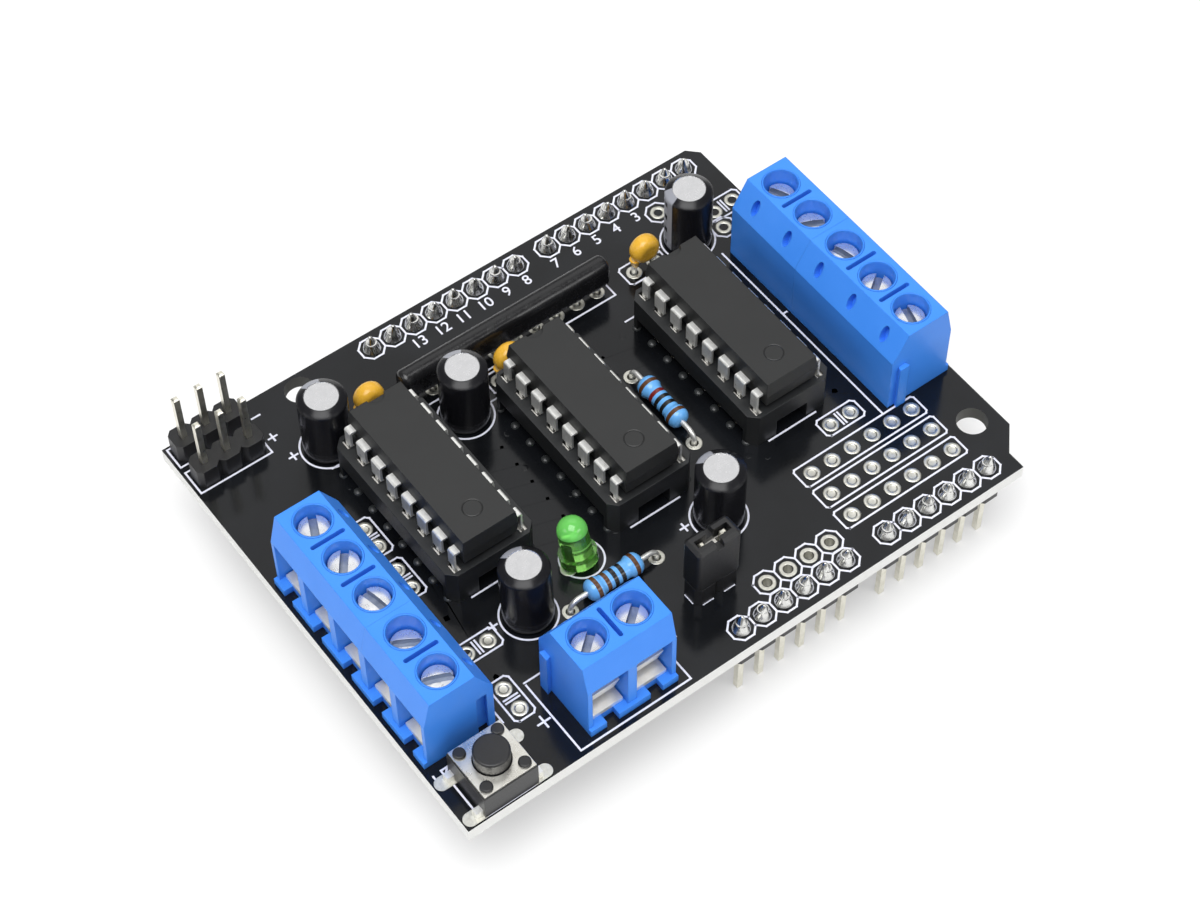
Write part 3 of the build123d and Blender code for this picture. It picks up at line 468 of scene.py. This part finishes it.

# %% [markdown]
# ## Lamp resin
# The lamp is cast in green resin with a little powder in it, which hides the chip and
# spreads the light. The dome looks solid. The collar looks clearer, because the resin is
# thin there and the metal frame shows, so it has a finish of its own. Some light is let
# through, and the colour changes with height. The lamp is not switched on, yet the resin
# glows faintly, more towards the top: that is painted light.

# %% Lamp resin


def resin_green(name, dark, light, clear, painted_glow, strength):
    """Green resin; clear is how much light goes straight through, painted_glow the colour of the
    painted light at its top.
    """
    paint = Paint(name)
    up = paint.xyz(paint.where(at(*lamp_place)))[2]
    cloud = paint.noise(0.5, 2.0)
    high = (up + cloud * 0.4 * mm).clipped(1.2 * mm, 4.2 * mm)
    return paint.finish(
        Base_Color=paint.mix(high, dark, light),
        Roughness=cloud * 0.06 + 0.06,
        Transmission_Weight=clear,
        IOR=1.5,
        # Painted light: the lamp is off, but its resin glows, more towards the top
        Emission_Color=paint.mix(high, (0.03, 0.10, 0.01), painted_glow),
        Emission_Strength=strength,
    )


lamp_dome = resin_green(
    "lamp_dome_resin", (0.22, 0.62, 0.12), (0.17, 0.66, 0.13),
    clear=0.35, painted_glow=(0.20, 0.76, 0.14), strength=0.12)
lamp_collar = resin_green(
    "lamp_collar_resin", (0.27, 0.64, 0.14), (0.25, 0.66, 0.15),
    clear=0.9, painted_glow=(0.08, 0.32, 0.03), strength=0.05)
print("made", lamp_dome.name, lamp_collar.name)

# %% [markdown]
# ## Giving faces their finish
# A node such as a capacitor holds its sleeve, can, rubber and leads in one mesh. The mesh
# is not changed: each face only gets the number of its finish, picked from where the
# face's middle lies.

# %% Face by face


def dress(node, choose, *finishes):
    """Give each face of a node the finish whose number choose(centre, normal) returns."""
    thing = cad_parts[node]
    mesh = thing.data
    mesh.materials.clear()
    for finish in finishes:
        mesh.materials.append(finish)
    counts = [0] * len(finishes)
    for face in mesh.polygons:
        face.material_index = choose(face.center, face.normal)
        counts[face.material_index] += 1
    print(node, "faces per finish", counts)


def plain(finish, nodes):
    """Give every face of these nodes one finish."""
    for node in nodes:
        dress(node, lambda centre, normal: 0, finish)


def nodes_with(text):
    return [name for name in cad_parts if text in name]


# %% Board and plastics
def board_finish(centre, normal):
    """0 mask, 1 laminate, 2 plated hole, 3 mounting hole wall in painted shade."""
    if abs(normal.z) > 0.5:
        return 0
    if any((centre.xy - at(*hole).xy).length < 1.8 * mm for hole in mounting_holes):
        return 3
    edge_x = min(abs(centre.x - board_low[0]), abs(centre.x - board_high[0]))
    edge_y = min(abs(centre.y - board_low[1]), abs(centre.y - board_high[1]))
    stepped_edge = centre.x > board_high[0] - 2.5 * mm
    return 1 if min(edge_x, edge_y) < 0.1 * mm or stepped_edge else 2


dress("circuit_board", board_finish, solder_mask, laminate, pad_tin, hole_wall_shade)
plain(
    header_black,
    ["header_strips", "servo_header_strips", "jumper_header_strip", "jumper_cap"])
plain(terminal_blue, [n for n in nodes_with("terminal_") if n != "terminal_contacts"])
plain(socket_black, nodes_with("chip_socket_"))
plain(switch_black, ["switch_base", "switch_button"])

# %% Metals
plain(pin_tin, ["header_pins"])
plain(clamp_nickel, ["jumper_spring", "terminal_contacts", "socket_contacts"])
plain(clamp_nickel, nodes_with("_clamp_plate_"))
plain(cover_steel, ["switch_cover", "switch_dome"])
plain(lead_tin, ["switch_legs"])
plain(solder_shine, ["solder_joints"])

# %% Screws
slot_reach, slot_from, slot_to = 1.4, 0.2, 0.8  # radius, then depths below the head's top
for node in nodes_with("_screw_"):
    low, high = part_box(node)
    axis_x, axis_y, top = (low[0] + high[0]) / 2, (low[1] + high[1]) / 2, high[2]

    def screw_finish(c, n):
        """0 head and shank, 1 the walls and floor of the slot."""
        inside = hypot(c.x - axis_x, c.y - axis_y) < slot_reach * mm
        return int(inside and -slot_to * mm < c.z - top < -slot_from * mm)

    dress(node, screw_finish, screw_zinc, slot_shade)

# %% Chips
half_body, body_floor = 3.178, 5.0  # leads lie outside this half width or below this height
for key, (x, y) in chips.items():
    middle = at(x, y, body_floor)

    def chip_finish(c, n):
        """0 resin, 1 leads."""
        return int(abs(c.x - middle.x) > half_body * mm or c.z < middle.z)

    dress("driver_chip_" + key, chip_finish, resins[key], lead_tin)

# %% Capacitors
can_lean = {"front_left": 3.0}  # degrees
bung_from, bung_to, bung_radius = 0.32, 1.26, 2.4
lid_height, lid_radius = 7.5, 1.72
for key, (x, y) in cans.items():
    lean = Matrix.Rotation(radians(-can_lean.get(key, 0)), 4, "X")
    upright = (Matrix.Translation(at(x, y)) @ lean).inverted()

    def can_finish(c, n):
        """0 sleeve, 1 aluminium, 2 rubber, 3 leads."""
        own = upright @ c
        out = hypot(own.x, own.y) / mm
        up = own.z / mm
        if up < bung_from:
            return 3
        if up < bung_to and out < bung_radius:
            return 2
        return 1 if up > lid_height and out < lid_radius else 0

    dress("capacitor_" + key, can_finish, sleeves[key], can_aluminium, bung_rubber, lead_tin)

# %% Small parts
disc_floor, network_floor = board_top + 1.36 * mm, board_top + 1.18 * mm
dress("ceramic_capacitors", lambda c, n: int(c.z < disc_floor), disc_yellow, lead_tin)
dress("resistor_network", lambda c, n: int(c.z < network_floor), network_black, lead_tin)
lamp_axis = (
    Matrix.Translation(at(*lamp_place, 0.75))
    @ Matrix.Rotation(radians(-13), 4, "X")
    @ Matrix.Rotation(radians(-2), 4, "Y")
).inverted()
frame_radius, frame_from, frame_to, collar_top = 1.35, 0.02, 2.7, 2.9
resistor_half_length, resistor_radius = 3.151, 1.2


def lamp_finish(c, n):
    """0 dome, 1 clear collar, 2 the leads and the frame inside the resin."""
    own = lamp_axis @ c
    out = hypot(own.x, own.y) / mm
    if own.z < -0.05 * mm or (out < frame_radius and frame_from < own.z / mm < frame_to):
        return 2
    return int(own.z < collar_top * mm)


dress("indicator_lamp", lamp_finish, lamp_dome, lamp_collar, lead_tin)


def resistor_finish(c, n):
    """0 front lacquer, 1 middle lacquer, 2 leads."""
    for number, place in enumerate((resistor_front_place, resistor_middle_place)):
        away = c - at(*place, resistor_axis)
        along, across = abs(away.x), abs(away.y)
        if place == resistor_middle_place:
            along, across = across, along
        if along < resistor_half_length * mm and across < resistor_radius * mm:
            return number
    return 2


dress("resistors", resistor_finish, resistor_front, resistor_middle, lead_tin)

# %% [markdown]
# ## Thin things on the board
# Pads and printed lines are only hundredths of a millimetre thick, but they carry most of
# a board's look. They are real pieces here, because a picture would blur up close. One
# ring or one bar is shaped first and then stamped wherever the drawing needs it.

# %% Stamping helpers


def shape_of(bm):
    """Turn a bmesh's faces outwards and keep it as a mesh to stamp with."""
    bmesh.ops.recalc_face_normals(bm, faces=bm.faces)
    shape = bpy.data.meshes.new("shape")
    bm.to_mesh(shape)
    bm.free()
    return shape


def turned_shape(profile, steps, on_axis):
    """A shape turned about Z from (radius, height) points in millimetres. One that starts
    and ends on the axis is merged there and shaded smooth; any other is a closed section."""
    bm = bmesh.new()
    verts = [bm.verts.new((r * mm, 0, z * mm)) for r, z in profile]
    ends = verts[1:] if on_axis else verts[1:] + verts[:1]
    edges = [bm.edges.new(pair) for pair in zip(verts, ends)]
    bmesh.ops.spin(
        bm, geom=verts + edges, cent=(0, 0, 0), axis=(0, 0, 1), angle=2 * pi, steps=steps,
        use_merge=True)
    if on_axis:
        bmesh.ops.remove_doubles(bm, verts=bm.verts, dist=0.0001 * mm)
        for face in bm.faces:
            face.smooth = True
    return shape_of(bm)


def ring_shape(inner, outer, thick, steps, soft=0.0):
    """A flat ring standing on Z = 0, its upper edges drawn in by soft millimetres."""
    section = [(outer, 0), (outer - soft, thick), (inner + soft, thick), (inner, 0)]
    return turned_shape(section, steps, on_axis=False)


def spread(places, z=0.0, first=Matrix.Identity(4)):
    """Matrices that carry a shape to grid places, after turning or sizing it."""
    return [Matrix.Translation(at(x, y, z)) @ first for x, y in places]


def stamp(bm, shape, matrices):
    """Copy a shape into a bmesh at each matrix."""
    for matrix in matrices:
        first = len(bm.verts)
        bm.from_mesh(shape)
        bm.verts.ensure_lookup_table()
        bmesh.ops.transform(bm, matrix=matrix, verts=bm.verts[first:])


def bar(bm, start, end, width, low, high):
    """A straight raised line from start to end, grid millimetres."""
    middle = at((start[0] + end[0]) / 2, (start[1] + end[1]) / 2, (low + high) / 2)
    length = hypot(end[0] - start[0], end[1] - start[1]) + width
    turn = atan2(end[1] - start[1], end[0] - start[0])
    size = Matrix.Diagonal((length * mm, width * mm, (high - low) * mm, 1))
    bmesh.ops.create_cube(
        bm, size=1, matrix=Matrix.Translation(middle) @ Matrix.Rotation(turn, 4, "Z") @ size)


def piece_from(name, bm, finish):
    """Turn a bmesh into a piece of the object that rides on the board."""
    mesh = bpy.data.meshes.new(name)
    bm.to_mesh(mesh)
    bm.free()
    mesh.materials.append(finish)
    piece = bpy.data.objects.new(name, mesh)
    scene.collection.objects.link(piece)
    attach(piece, "board")
    print(name, "faces", len(mesh.polygons))


upside_down = Matrix.Rotation(pi, 4, "X")
print("stamping helpers ready")

# %% [markdown]
# ## Pads
# Leads are soldered to tinned rings, one on each face of the board. A ring lies a little
# proud of the mask and rounds off at its rims. The spare pads, where nothing is fitted, are
# filled with tin: they are shallow cups, closed below, with a raised rim.

# %% Places of the pads


def legs_of(places, reach=pitch / 2):
    """Two places for each part, reach millimetres to its left and right."""
    return [(x + side * reach, y) for x, y in places for side in (-1, 1)]


header_places = [place for first in header_rows for place in row(*first)]
pairs = [
    ((54.66, 15.69), (57.18, 15.69)), ((11.0, 30.6), (11.0, 33.0)), ((10.9, 24.8), (10.9, 27.3)),
    ((10.85, 15.7), (13.3, 15.7)), ((11.4, 8.0), (11.4, 10.55)), ((62.45, 44.15), (64.95, 44.35)),
]
lone_pads = [(57.7, 47.6), (61.95, 41.95)]
spare = row(49.5, 12.3, 6) + row(49.5, 9.27, 6) + row(49.5, 6.2, 6)
spare += [place for pair in pairs for place in pair] + lone_pads
network_places = [(46.22 - pitch * k, 42.95) for k in range(10)]
lead_places = legs_of(cans.values()) + legs_of(discs)
lead_places += [(24.03, 17.6), (26.57, 17.6)]
lead_places += [(21.32, 13.6), (31.48, 13.6), (42.56, 22.02), (42.56, 32.18)]
terminal_places = [(4.6, 30.5 - 5 * k) for k in range(5)]
terminal_places += [(64.5, 16.4 + 5 * k) for k in range(5)]
terminal_places += [(17.35, 5.4), (22.35, 5.4)]
switch_x, switch_y = 5.33, 3.6
switch_places = [
    (switch_x + i * 3.25, switch_y + j * 2.25) for i in (-1, 1) for j in (-1, 1)]
print("spare pads:", len(spare), "lead pads:", len(lead_places + network_places))

# %% Tinned pads
bm = bmesh.new()
for shape, places in (
    (ring_shape(0.42, 0.86, 0.045, 20, 0.06), lead_places + network_places),
    (ring_shape(0.50, 0.95, 0.03, 20, 0.05),
     [place for first in (*servo_rows, jumper_row) for place in row(*first)]),
    (ring_shape(0.48, 0.90, 0.05, 24, 0.06), row(*open_row)),
    (ring_shape(0.76, 1.25, 0.03, 20, 0.05), terminal_places),
):
    stamp(bm, shape, spread(places))
    stamp(bm, shape, spread(places, -board_thick, upside_down))
piece_from("tinned_pads", bm, pad_tin)

# %% Spare pads
cup_profile = [
    (0.0, -0.12), (0.44, -0.12), (0.46, -0.01), (0.88, 0.0), (0.82, 0.05),
    (0.52, 0.05), (0.46, 0.0), (0.42, -0.05), (0.38, -0.06), (0.0, -0.06)]
cup = turned_shape(cup_profile, 24, on_axis=True)
bm = bmesh.new()
stamp(bm, cup, spread(spare))
stamp(bm, cup, spread(spare, -board_thick, upside_down))
piece_from("spare_pads", bm, pad_tin)

# %% [markdown]
# ## Pad ends beside the sockets
# Next to each socket hole the end of a tinned pad peeks out from under the socket, a small
# soft blob of solder. They are flattened half balls in a dark finish of their own: the
# dark grey is painted shade, as the tin lies in the socket's shadow and mirrors its body.

# %% Shaded pad ends
paint = Paint("shaded_pad_end_finish")
skin = paint.noise(0.3, 2.0)
# Painted shade: tin in the socket's shadow, given a dark grey colour
pad_end_shade = paint.finish(
    Base_Color=paint.mix(skin, (0.020, 0.022, 0.023), (0.045, 0.048, 0.050)),
    Roughness=skin * 0.15 + 0.26,
    Normal=paint.bump(skin, 0.02, 0.6),
)
ball = bmesh.new()
bmesh.ops.create_uvsphere(ball, u_segments=16, v_segments=10, radius=1.0)
bmesh.ops.bisect_plane(
    ball, geom=ball.verts[:] + ball.edges[:] + ball.faces[:], plane_co=(0, 0, 0.02),
    plane_no=(0, 0, 1), clear_inner=True)
bmesh.ops.holes_fill(ball, edges=ball.edges, sides=0)
dome = shape_of(ball)
bm = bmesh.new()
blob = Matrix.Diagonal((0.47 * mm, 0.47 * mm, 0.30 * mm, 1))
for x, y in chips.values():
    spots = [(x + s * 4.76, y + pitch * (k - 3.5)) for s in (-1, 1) for k in range(8)]
    stamp(bm, dome, spread(spots, 0.0, blob))
piece_from("shaded_pad_ends", bm, pad_end_shade)

# %% [markdown]
# ## Pads of the switch
# The switch's four pads are long ovals that reach out from under it. An oval is two half
# rounds with a straight middle, drawn as one outline and raised by an extrusion.

# %% Switch pads
pad_round, pad_thick, oval_steps = 0.75, 0.05, 24
bm = bmesh.new()
for x, y in switch_places:
    out = 1 if x > switch_x else -1
    for low in (0.0, -board_thick - pad_thick):
        rim = []
        for k in range(oval_steps):
            a = 2 * pi * k / oval_steps
            shift = 0.85 if cos(a) > 0 else -0.45
            spot = at(x + out * (pad_round * cos(a) + shift), y + pad_round * sin(a), low)
            rim.append(bm.verts.new(spot))
        face = bm.faces.new(rim)
        raised = bmesh.ops.extrude_face_region(bm, geom=[face])["geom"]
        tops = [part for part in raised if isinstance(part, bmesh.types.BMVert)]
        bmesh.ops.translate(bm, vec=(0, 0, pad_thick * mm), verts=tops)
bmesh.ops.recalc_face_normals(bm, faces=bm.faces)
piece_from("switch_pads", bm, pad_tin)

# %% [markdown]
# ## Soldered pin tips
# Solder climbs each header pin in a cone with hollowed sides and closes over its tip. Its
# section is round at the pad, a little square along the pin and round again at the top.
# Rings of points are placed by that rule and joined. Each joint is stretched and leant a
# little, as hand soldering is.

# %% Solder on the header pins
header_rings = [  # radius and height in millimetres, then how square the ring is
    (0.97, 0.02, 0.0), (0.94, 0.06, 0.0), (0.73, 0.50, 0.2), (0.53, 0.94, 0.4),
    (0.33, 1.34, 0.2), (0.16, 1.66, 0.0), (0.03, 1.78, 0.0)]
sides = 32
cone = bmesh.new()
rings = []
for radius, height, square in header_rings:
    ring = []
    for k in range(sides):
        a = 2 * pi * k / sides
        corner = 1 / max(abs(cos(a)), abs(sin(a)))
        reach = radius * (1 - square + square * (0.62 + 0.38 * corner))
        reach *= 1 + 0.05 * height * sin(6 * a + 3 * height) + 0.04 * height * sin(3 * a + 1)
        ring.append(cone.verts.new((reach * cos(a) * mm, reach * sin(a) * mm, height * mm)))
    rings.append(ring)
for lower, upper in zip(rings, rings[1:]):
    for k in range(sides):
        cone.faces.new((lower[k], lower[(k + 1) % sides], upper[(k + 1) % sides], upper[k]))
cone.faces.new(rings[-1])
cone.faces.new(rings[0])
for face in cone.faces:
    face.smooth = True
joint = shape_of(cone)
bm = bmesh.new()
matrices = []
for k, (x, y) in enumerate(header_places):
    lean = Matrix.Shear("XY", 4, (0.07 * sin(k * 2.4), 0.07 * cos(k * 3.1)))
    tall = Matrix.Diagonal((1, 1, 1 + 0.05 * sin(k * 1.7), 1))
    matrices.append(Matrix.Translation(at(x, y)) @ lean @ tall)
stamp(bm, joint, matrices)
piece_from("pin_solder", bm, solder_shine)

# %% [markdown]
# ## Printed lines
# White ink marks where each part goes: an octagon round every header pin, circles for the
# cans, boxes for the rows of spare pads. The lines are 0.19 mm wide. One line differs from
# the next in height by a few thousandths, so that they don't flicker where they cross.
# Only outlines, signs and pin numbers are printed here.

# %% Ink and its line tools
paint = Paint("marking_ink")
patchy = paint.noise(0.3, 3.0, 0.6)
marking_ink = paint.finish(
    Base_Color=paint.mix(patchy.clipped(0.3, 0.7), (0.68, 0.69, 0.80), (0.84, 0.85, 0.94)),
    Roughness=patchy * 0.2 + 0.42,
    Normal=paint.bump(patchy, 0.02, 0.6),
)
ink_low, ink_high, ink_width = 0.0, 0.03, 0.19
ink = bmesh.new()


def line(*points, width=ink_width):
    """A printed line through points in grid millimetres, its bars at changing heights."""
    for start, end in zip(points, points[1:]):
        layer = len(ink.faces) // 6 % 7
        bar(ink, start, end, width, ink_low, ink_high + 0.002 * layer)


def box_line(x0, y0, x1, y1, cut=0.0):
    """A printed box, its corners cut off by cut millimetres."""
    c = cut
    points = [
        (x0 + c, y0), (x1 - c, y0), (x1, y0 + c), (x1, y1 - c), (x1 - c, y1), (x0 + c, y1),
        (x0, y1 - c), (x0, y0 + c), (x0 + c, y0)]
    line(*[p for k, p in enumerate(points) if k == 0 or p != points[k - 1]])


def circle_line(x, y, radius):
    half = ink_width / 2
    stamp(ink, ring_shape(radius - half, radius + half, ink_high, 48), spread([(x, y)]))


def sign(x, y, size, plus=True):
    """A plus or minus sign."""
    reach = size / 2
    line((x - reach, y), (x + reach, y), width=0.2)
    if plus:
        line((x, y - reach), (x, y + reach), width=0.2)


# %% Octagons round the header pins
def octagons(x, y, count):
    """A chain of octagons along X that share their upright sides."""
    radius = pitch / 2
    h = 0.414 * radius + 0.02
    for cx, _ in row(x, y, count):
        for side in (-1, 1):
            line(
                (cx - radius, y + side * h), (cx - h, y + side * radius),
                (cx + h, y + side * radius), (cx + radius, y + side * h))
    for end, _ in row(x - radius, y, count + 1):
        line((end, y - h), (end, y + h))


for first in (*header_rows, open_row, jumper_row):
    octagons(*first)
for x, y in lone_pads:
    octagons(x, y, 1)
print("ink faces", len(ink.faces))

# %% Boxes and circles
for y0, y1 in ((11.1, 13.55), (8.06, 10.55), (5.05, 7.43)):
    box_line(48.05, y0, 63.33, y1, 0.25)
around = 1.15  # from a pad's middle to the box round a pair
for (x0, y0), (x1, y1) in pairs:
    box_line(
        min(x0, x1) - around, min(y0, y1) - around, max(x0, x1) + around, max(y0, y1) + around,
        0.35)
    mx, my = (x0 + x1) / 2, (y0 + y1) / 2
    for off in (-0.18, 0.18):
        if abs(x1 - x0) > abs(y1 - y0):
            line((mx + off, my - 0.75), (mx + off, my + 0.75))
        else:
            line((mx - 0.75, my + off), (mx + 0.75, my + off))
for x, y in cans.values():
    circle_line(x, y, 2.85)
circle_line(25.71, 17.74, 2.2)
for x, y in cans.values():
    sign(x - 3.5, y + 0.9, 0.9)
row_end = 10.16
for x, y in chips.values():
    for end in (-row_end, row_end):
        line((x - 2.92, y + end), (x + 2.92, y + end))
    left, right = (x - 5.25, y + row_end), (x - 2.92, y + row_end)
    line(left, right, left)  # there and back, where the print is thicker
box_line(20.9, 41.5, 47.55, 44.4)
line((22.6, 41.5), (22.6, 44.4))
for x, y in discs:
    box_line(x - 2.5, y - 1.27, x + 2.5, y + 1.27, 0.3)
print("ink faces", len(ink.faces))

# %% Terminals, switch and servo rows
line((13.28, 9.6), (13.28, 1.05), (25.9, 1.05), (25.9, 9.9), (13.28, 9.9))
line((59.6, 13.6), (59.6, 39.2))
line((59.6, 29.3), (60.1, 29.3))
line((9.3, 7.7), (9.3, 33.3))
sign(12.35, 5.5, 1.3)
sign(26.9, 5.5, 1.3, plus=False)
box_line(0.75, 46.0, 8.9, 49.0)
box_line(0.75, 49.8, 8.9, 52.4)
box_line(2.0, 0.7, 8.7, 6.8, 0.4)
line((1.0, 6.9), (1.0, 6.1), (1.9, 6.1), (1.9, 7.0), (2.8, 7.0))
sign(9.9, 47.5, 0.9)
sign(9.9, 50.6, 0.9, plus=False)
piece_from("printed_lines", ink, marking_ink)

# %% [markdown]
# ## Pin numbers
# The digital pins are numbered along their row. A text object gives the figures; it is
# turned into a mesh first and then moved, so the piece itself stays at the origin.

# %% Figures
digits = bmesh.new()
figure_size, figure_y = 1.75, 48.5


def figure(word, x):
    """Printed figures whose middle lies at x in the row of pin numbers."""
    text = bpy.data.curves.new("figure", "FONT")
    text.body = word
    text.size = figure_size * mm
    text.align_x = "CENTER"
    text.align_y = "CENTER"
    text.offset = 0.012 * mm
    text.resolution_u = 3
    text.extrude = ink_high / 2 * mm
    holder = bpy.data.objects.new("figure", text)
    scene.collection.objects.link(holder)
    graph = bpy.context.evaluated_depsgraph_get()
    flat = bpy.data.meshes.new_from_object(holder.evaluated_get(graph))
    bpy.data.objects.remove(holder)
    stamp(digits, flat, spread([(x, figure_y)], ink_high / 2))


numbers = {"13": 28.2, "12": 31.0, "11": 33.6, "10": 36.3, "9": 39.0, "8": 41.5}
numbers.update({"7": 45.2, "6": 47.8, "5": 50.4, "4": 52.9, "3": 55.5})
for word, x in numbers.items():
    figure(word, x)
bmesh.ops.remove_doubles(digits, verts=digits.verts, dist=0.001 * mm)
bmesh.ops.recalc_face_normals(digits, faces=digits.faces)
piece_from("pin_numbers", digits, marking_ink)

# %% [markdown]
# ## Copper under the mask
# Tracks show as low ridges where the lacquer goes over the copper. They are bars too, in
# the mask's own finish, only a few hundredths high. They run from the terminals to the
# outer chips, from chip to chip, and from the resistor network towards the header row.
# Small plated holes, which the lacquer covers as well, show as very flat blobs.

# %% Tracks
tracks = bmesh.new()


def track(*points, width):
    for start, end in zip(points, points[1:]):
        bar(tracks, start, end, width, 0.0, 0.018)


for k in range(8):
    top = 27.94 + pitch * (k - 3.5)
    track((60.3, 16.4 + 2.9 * k), (57.6, top - 0.4), (56.2, top), width=0.55)
    track((29.7, top), (27.2, top + 1.2), (22.7, 30.65 + pitch * (k - 3.5)), width=0.35)
for k in range(7):
    up = pitch * k
    track((38.4, 19.4 + up), (40.2 + 0.25 * k, 20.6 + up), (46.6, 19.6 + up), width=0.35)
    track((46.2 - up, 43.0), (46.2 - up, 45.6), (47.0 - up, 46.6), width=0.35)
for k in range(5):
    track((9.0, 10.5 + 5 * k), (11.6, 12.0 + 4 * k), (12.9, 21.8 + pitch * k), width=0.55)
piece_from("copper_ridges", tracks, solder_mask)

# %% Small vias
vias = bmesh.new()
spots = [
    (47.3, 16.4), (45.9, 17.6), (28.4, 10.7), (30.2, 18.4), (40.6, 34.7), (44.9, 36.8),
    (12.7, 38.0), (21.4, 46.7), (35.6, 46.2), (46.2, 46.4), (63.6, 41.2), (29.3, 24.4),
    (27.6, 29.6), (28.6, 34.0)]
low_blob = Matrix.Diagonal((0.34 * mm, 0.34 * mm, 0.02 * mm, 1))
stamp(vias, dome, spread(spots, 0.0, low_blob))
piece_from("small_vias", vias, solder_mask)

# %% [markdown]
# ## Rims of the screw wells
# The mould leaves a low rounded ring round each well. It catches the light before the
# dark hole does, so it is worth its few faces.

# %% Well rims
rims = bmesh.new()
rim = ring_shape(1.74, 1.98, 0.07, 40, 0.08)
stamp(rims, rim, spread(terminal_places, terminal_top))
piece_from("well_rims", rims, terminal_blue)

# %% [markdown]
# ## Dipped legs
# When a ceramic disc is dipped, some coating runs down its legs and thins out. Each leg
# gets a short cone in the same yellow, turned about the leg.

# %% Coated legs
legs = bmesh.new()
cone = bmesh.new()
bmesh.ops.create_cone(
    cone, cap_ends=True, segments=16, radius1=0.33 * mm, radius2=0.62 * mm, depth=1.1 * mm)
stamp(legs, shape_of(cone), spread(legs_of(discs, 1.15), 1.55))
piece_from("dipped_legs", legs, disc_yellow)

# %% [markdown]
# ## Floor, light and camera
# The board stands on its pins on a white sheet. A white sheet lit evenly stays a little
# grey, so the part of it that only the camera and reflections see is lifted towards
# white, more so farther out, while the shadow stays. One wide lamp overhead and three
# smaller ones, behind, in front and at the left, give the metal something to reflect.

# %% Floor
paint = Paint("white_sheet")
path = paint.node("ShaderNodeLightPath").socket.node
seen = Socket(paint, path.outputs["Is Camera Ray"])
for name in ("Is Glossy Ray", "Is Transmission Ray"):
    seen = seen.larger(Socket(paint, path.outputs[name]))
matt = paint.node("ShaderNodeBsdfDiffuse", None, {"Color": (0.86, 0.86, 0.86, 1)})
pale = paint.node("ShaderNodeBsdfDiffuse", None, {"Color": (0.58, 0.58, 0.58, 1)})
x, y = paint.xyz(paint.where())[:2]
far = (x * x + y * y).math("SQRT").clipped(0.1, 0.5)
lift = paint.node("ShaderNodeEmission", None, {"Color": paint.mix(far, (0.38,) * 3, (0.85,) * 3)})
both = paint.node("ShaderNodeAddShader", None, {0: pale, 1: lift})
sheet = paint.output(paint.node("ShaderNodeMixShader", None, {0: seen, 1: matt, 2: both}))
bm = bmesh.new()
bmesh.ops.create_grid(bm, x_segments=1, y_segments=1, size=1.5)
mesh = bpy.data.meshes.new("floor_sheet")
bm.to_mesh(mesh)
bm.free()
mesh.materials.append(sheet)
floor = bpy.data.objects.new("floor_sheet", mesh)
scene.collection.objects.link(floor)
floor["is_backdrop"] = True

# %% Surroundings
world = bpy.data.worlds.new("studio_air")
scene.world = world
world.use_nodes = True
nodes, links = world.node_tree.nodes, world.node_tree.links
air = nodes["Background"]
air.inputs["Color"].default_value = (1, 1, 1, 1)
path = nodes.new("ShaderNodeLightPath")
level = nodes.new("ShaderNodeMapRange")
level.inputs["To Min"].default_value = 0.26  # the light it gives; the camera sees it at 1
links.new(path.outputs["Is Camera Ray"], level.inputs["Value"])
links.new(level.outputs["Result"], air.inputs["Strength"])
print("surroundings:", world.name)

# %% Lamps


def softbox(name, azimuth, elevation, distance, size, power):
    """A lamp that looks at the board's middle; angles in degrees, the rest in metres and watts."""
    a, e = radians(azimuth), radians(elevation)
    back = Vector((sin(a) * cos(e), -cos(a) * cos(e), sin(e)))
    lamp = bpy.data.lights.new(name, "AREA")
    lamp.shape = "RECTANGLE"
    lamp.size, lamp.size_y = size
    lamp.energy = power
    holder = bpy.data.objects.new(name, lamp)
    holder.location = back * distance + Vector((0, 0, board_top))
    holder.rotation_euler = back.to_track_quat("Z", "Y").to_euler()
    scene.collection.objects.link(holder)


softbox("overhead_box", -50, 74, 0.75, (0.6, 0.6), 6.2)
softbox("back_box", 144, 50, 0.7, (0.62, 0.42), 0.7)
softbox("front_box", 25, 32, 0.7, (0.35, 0.2), 0.8)
softbox("left_box", -100, 30, 0.7, (0.3, 0.2), 0.5)

# %% Camera
camera_data = bpy.data.cameras.new("camera")
camera_data.sensor_width = 36.0
camera_data.lens = 82.424
camera_data.clip_start = 0.01
camera = bpy.data.objects.new("camera", camera_data)
camera.location = (-0.091794, -0.125860, 0.229496)
turn = Matrix.Rotation(radians(-36.082), 4, "Z")
tilt = Matrix.Rotation(radians(90 - 54.525), 4, "X")
roll = Matrix.Rotation(radians(-0.7725), 4, "Z")
camera.rotation_euler = (turn @ tilt @ roll).to_euler()
scene.collection.objects.link(camera)
scene.camera = camera
scene.view_settings.view_transform = "Standard"

# %% Sizes
boxes = {"cad": cad_box, "visual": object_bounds()}
lists = {key: [[float(v) for v in corner] for corner in box] for key, box in boxes.items()}
for key, (low, high) in lists.items():
    print(key, "box in mm:", [round((b - a) / mm, 2) for a, b in zip(low, high)])
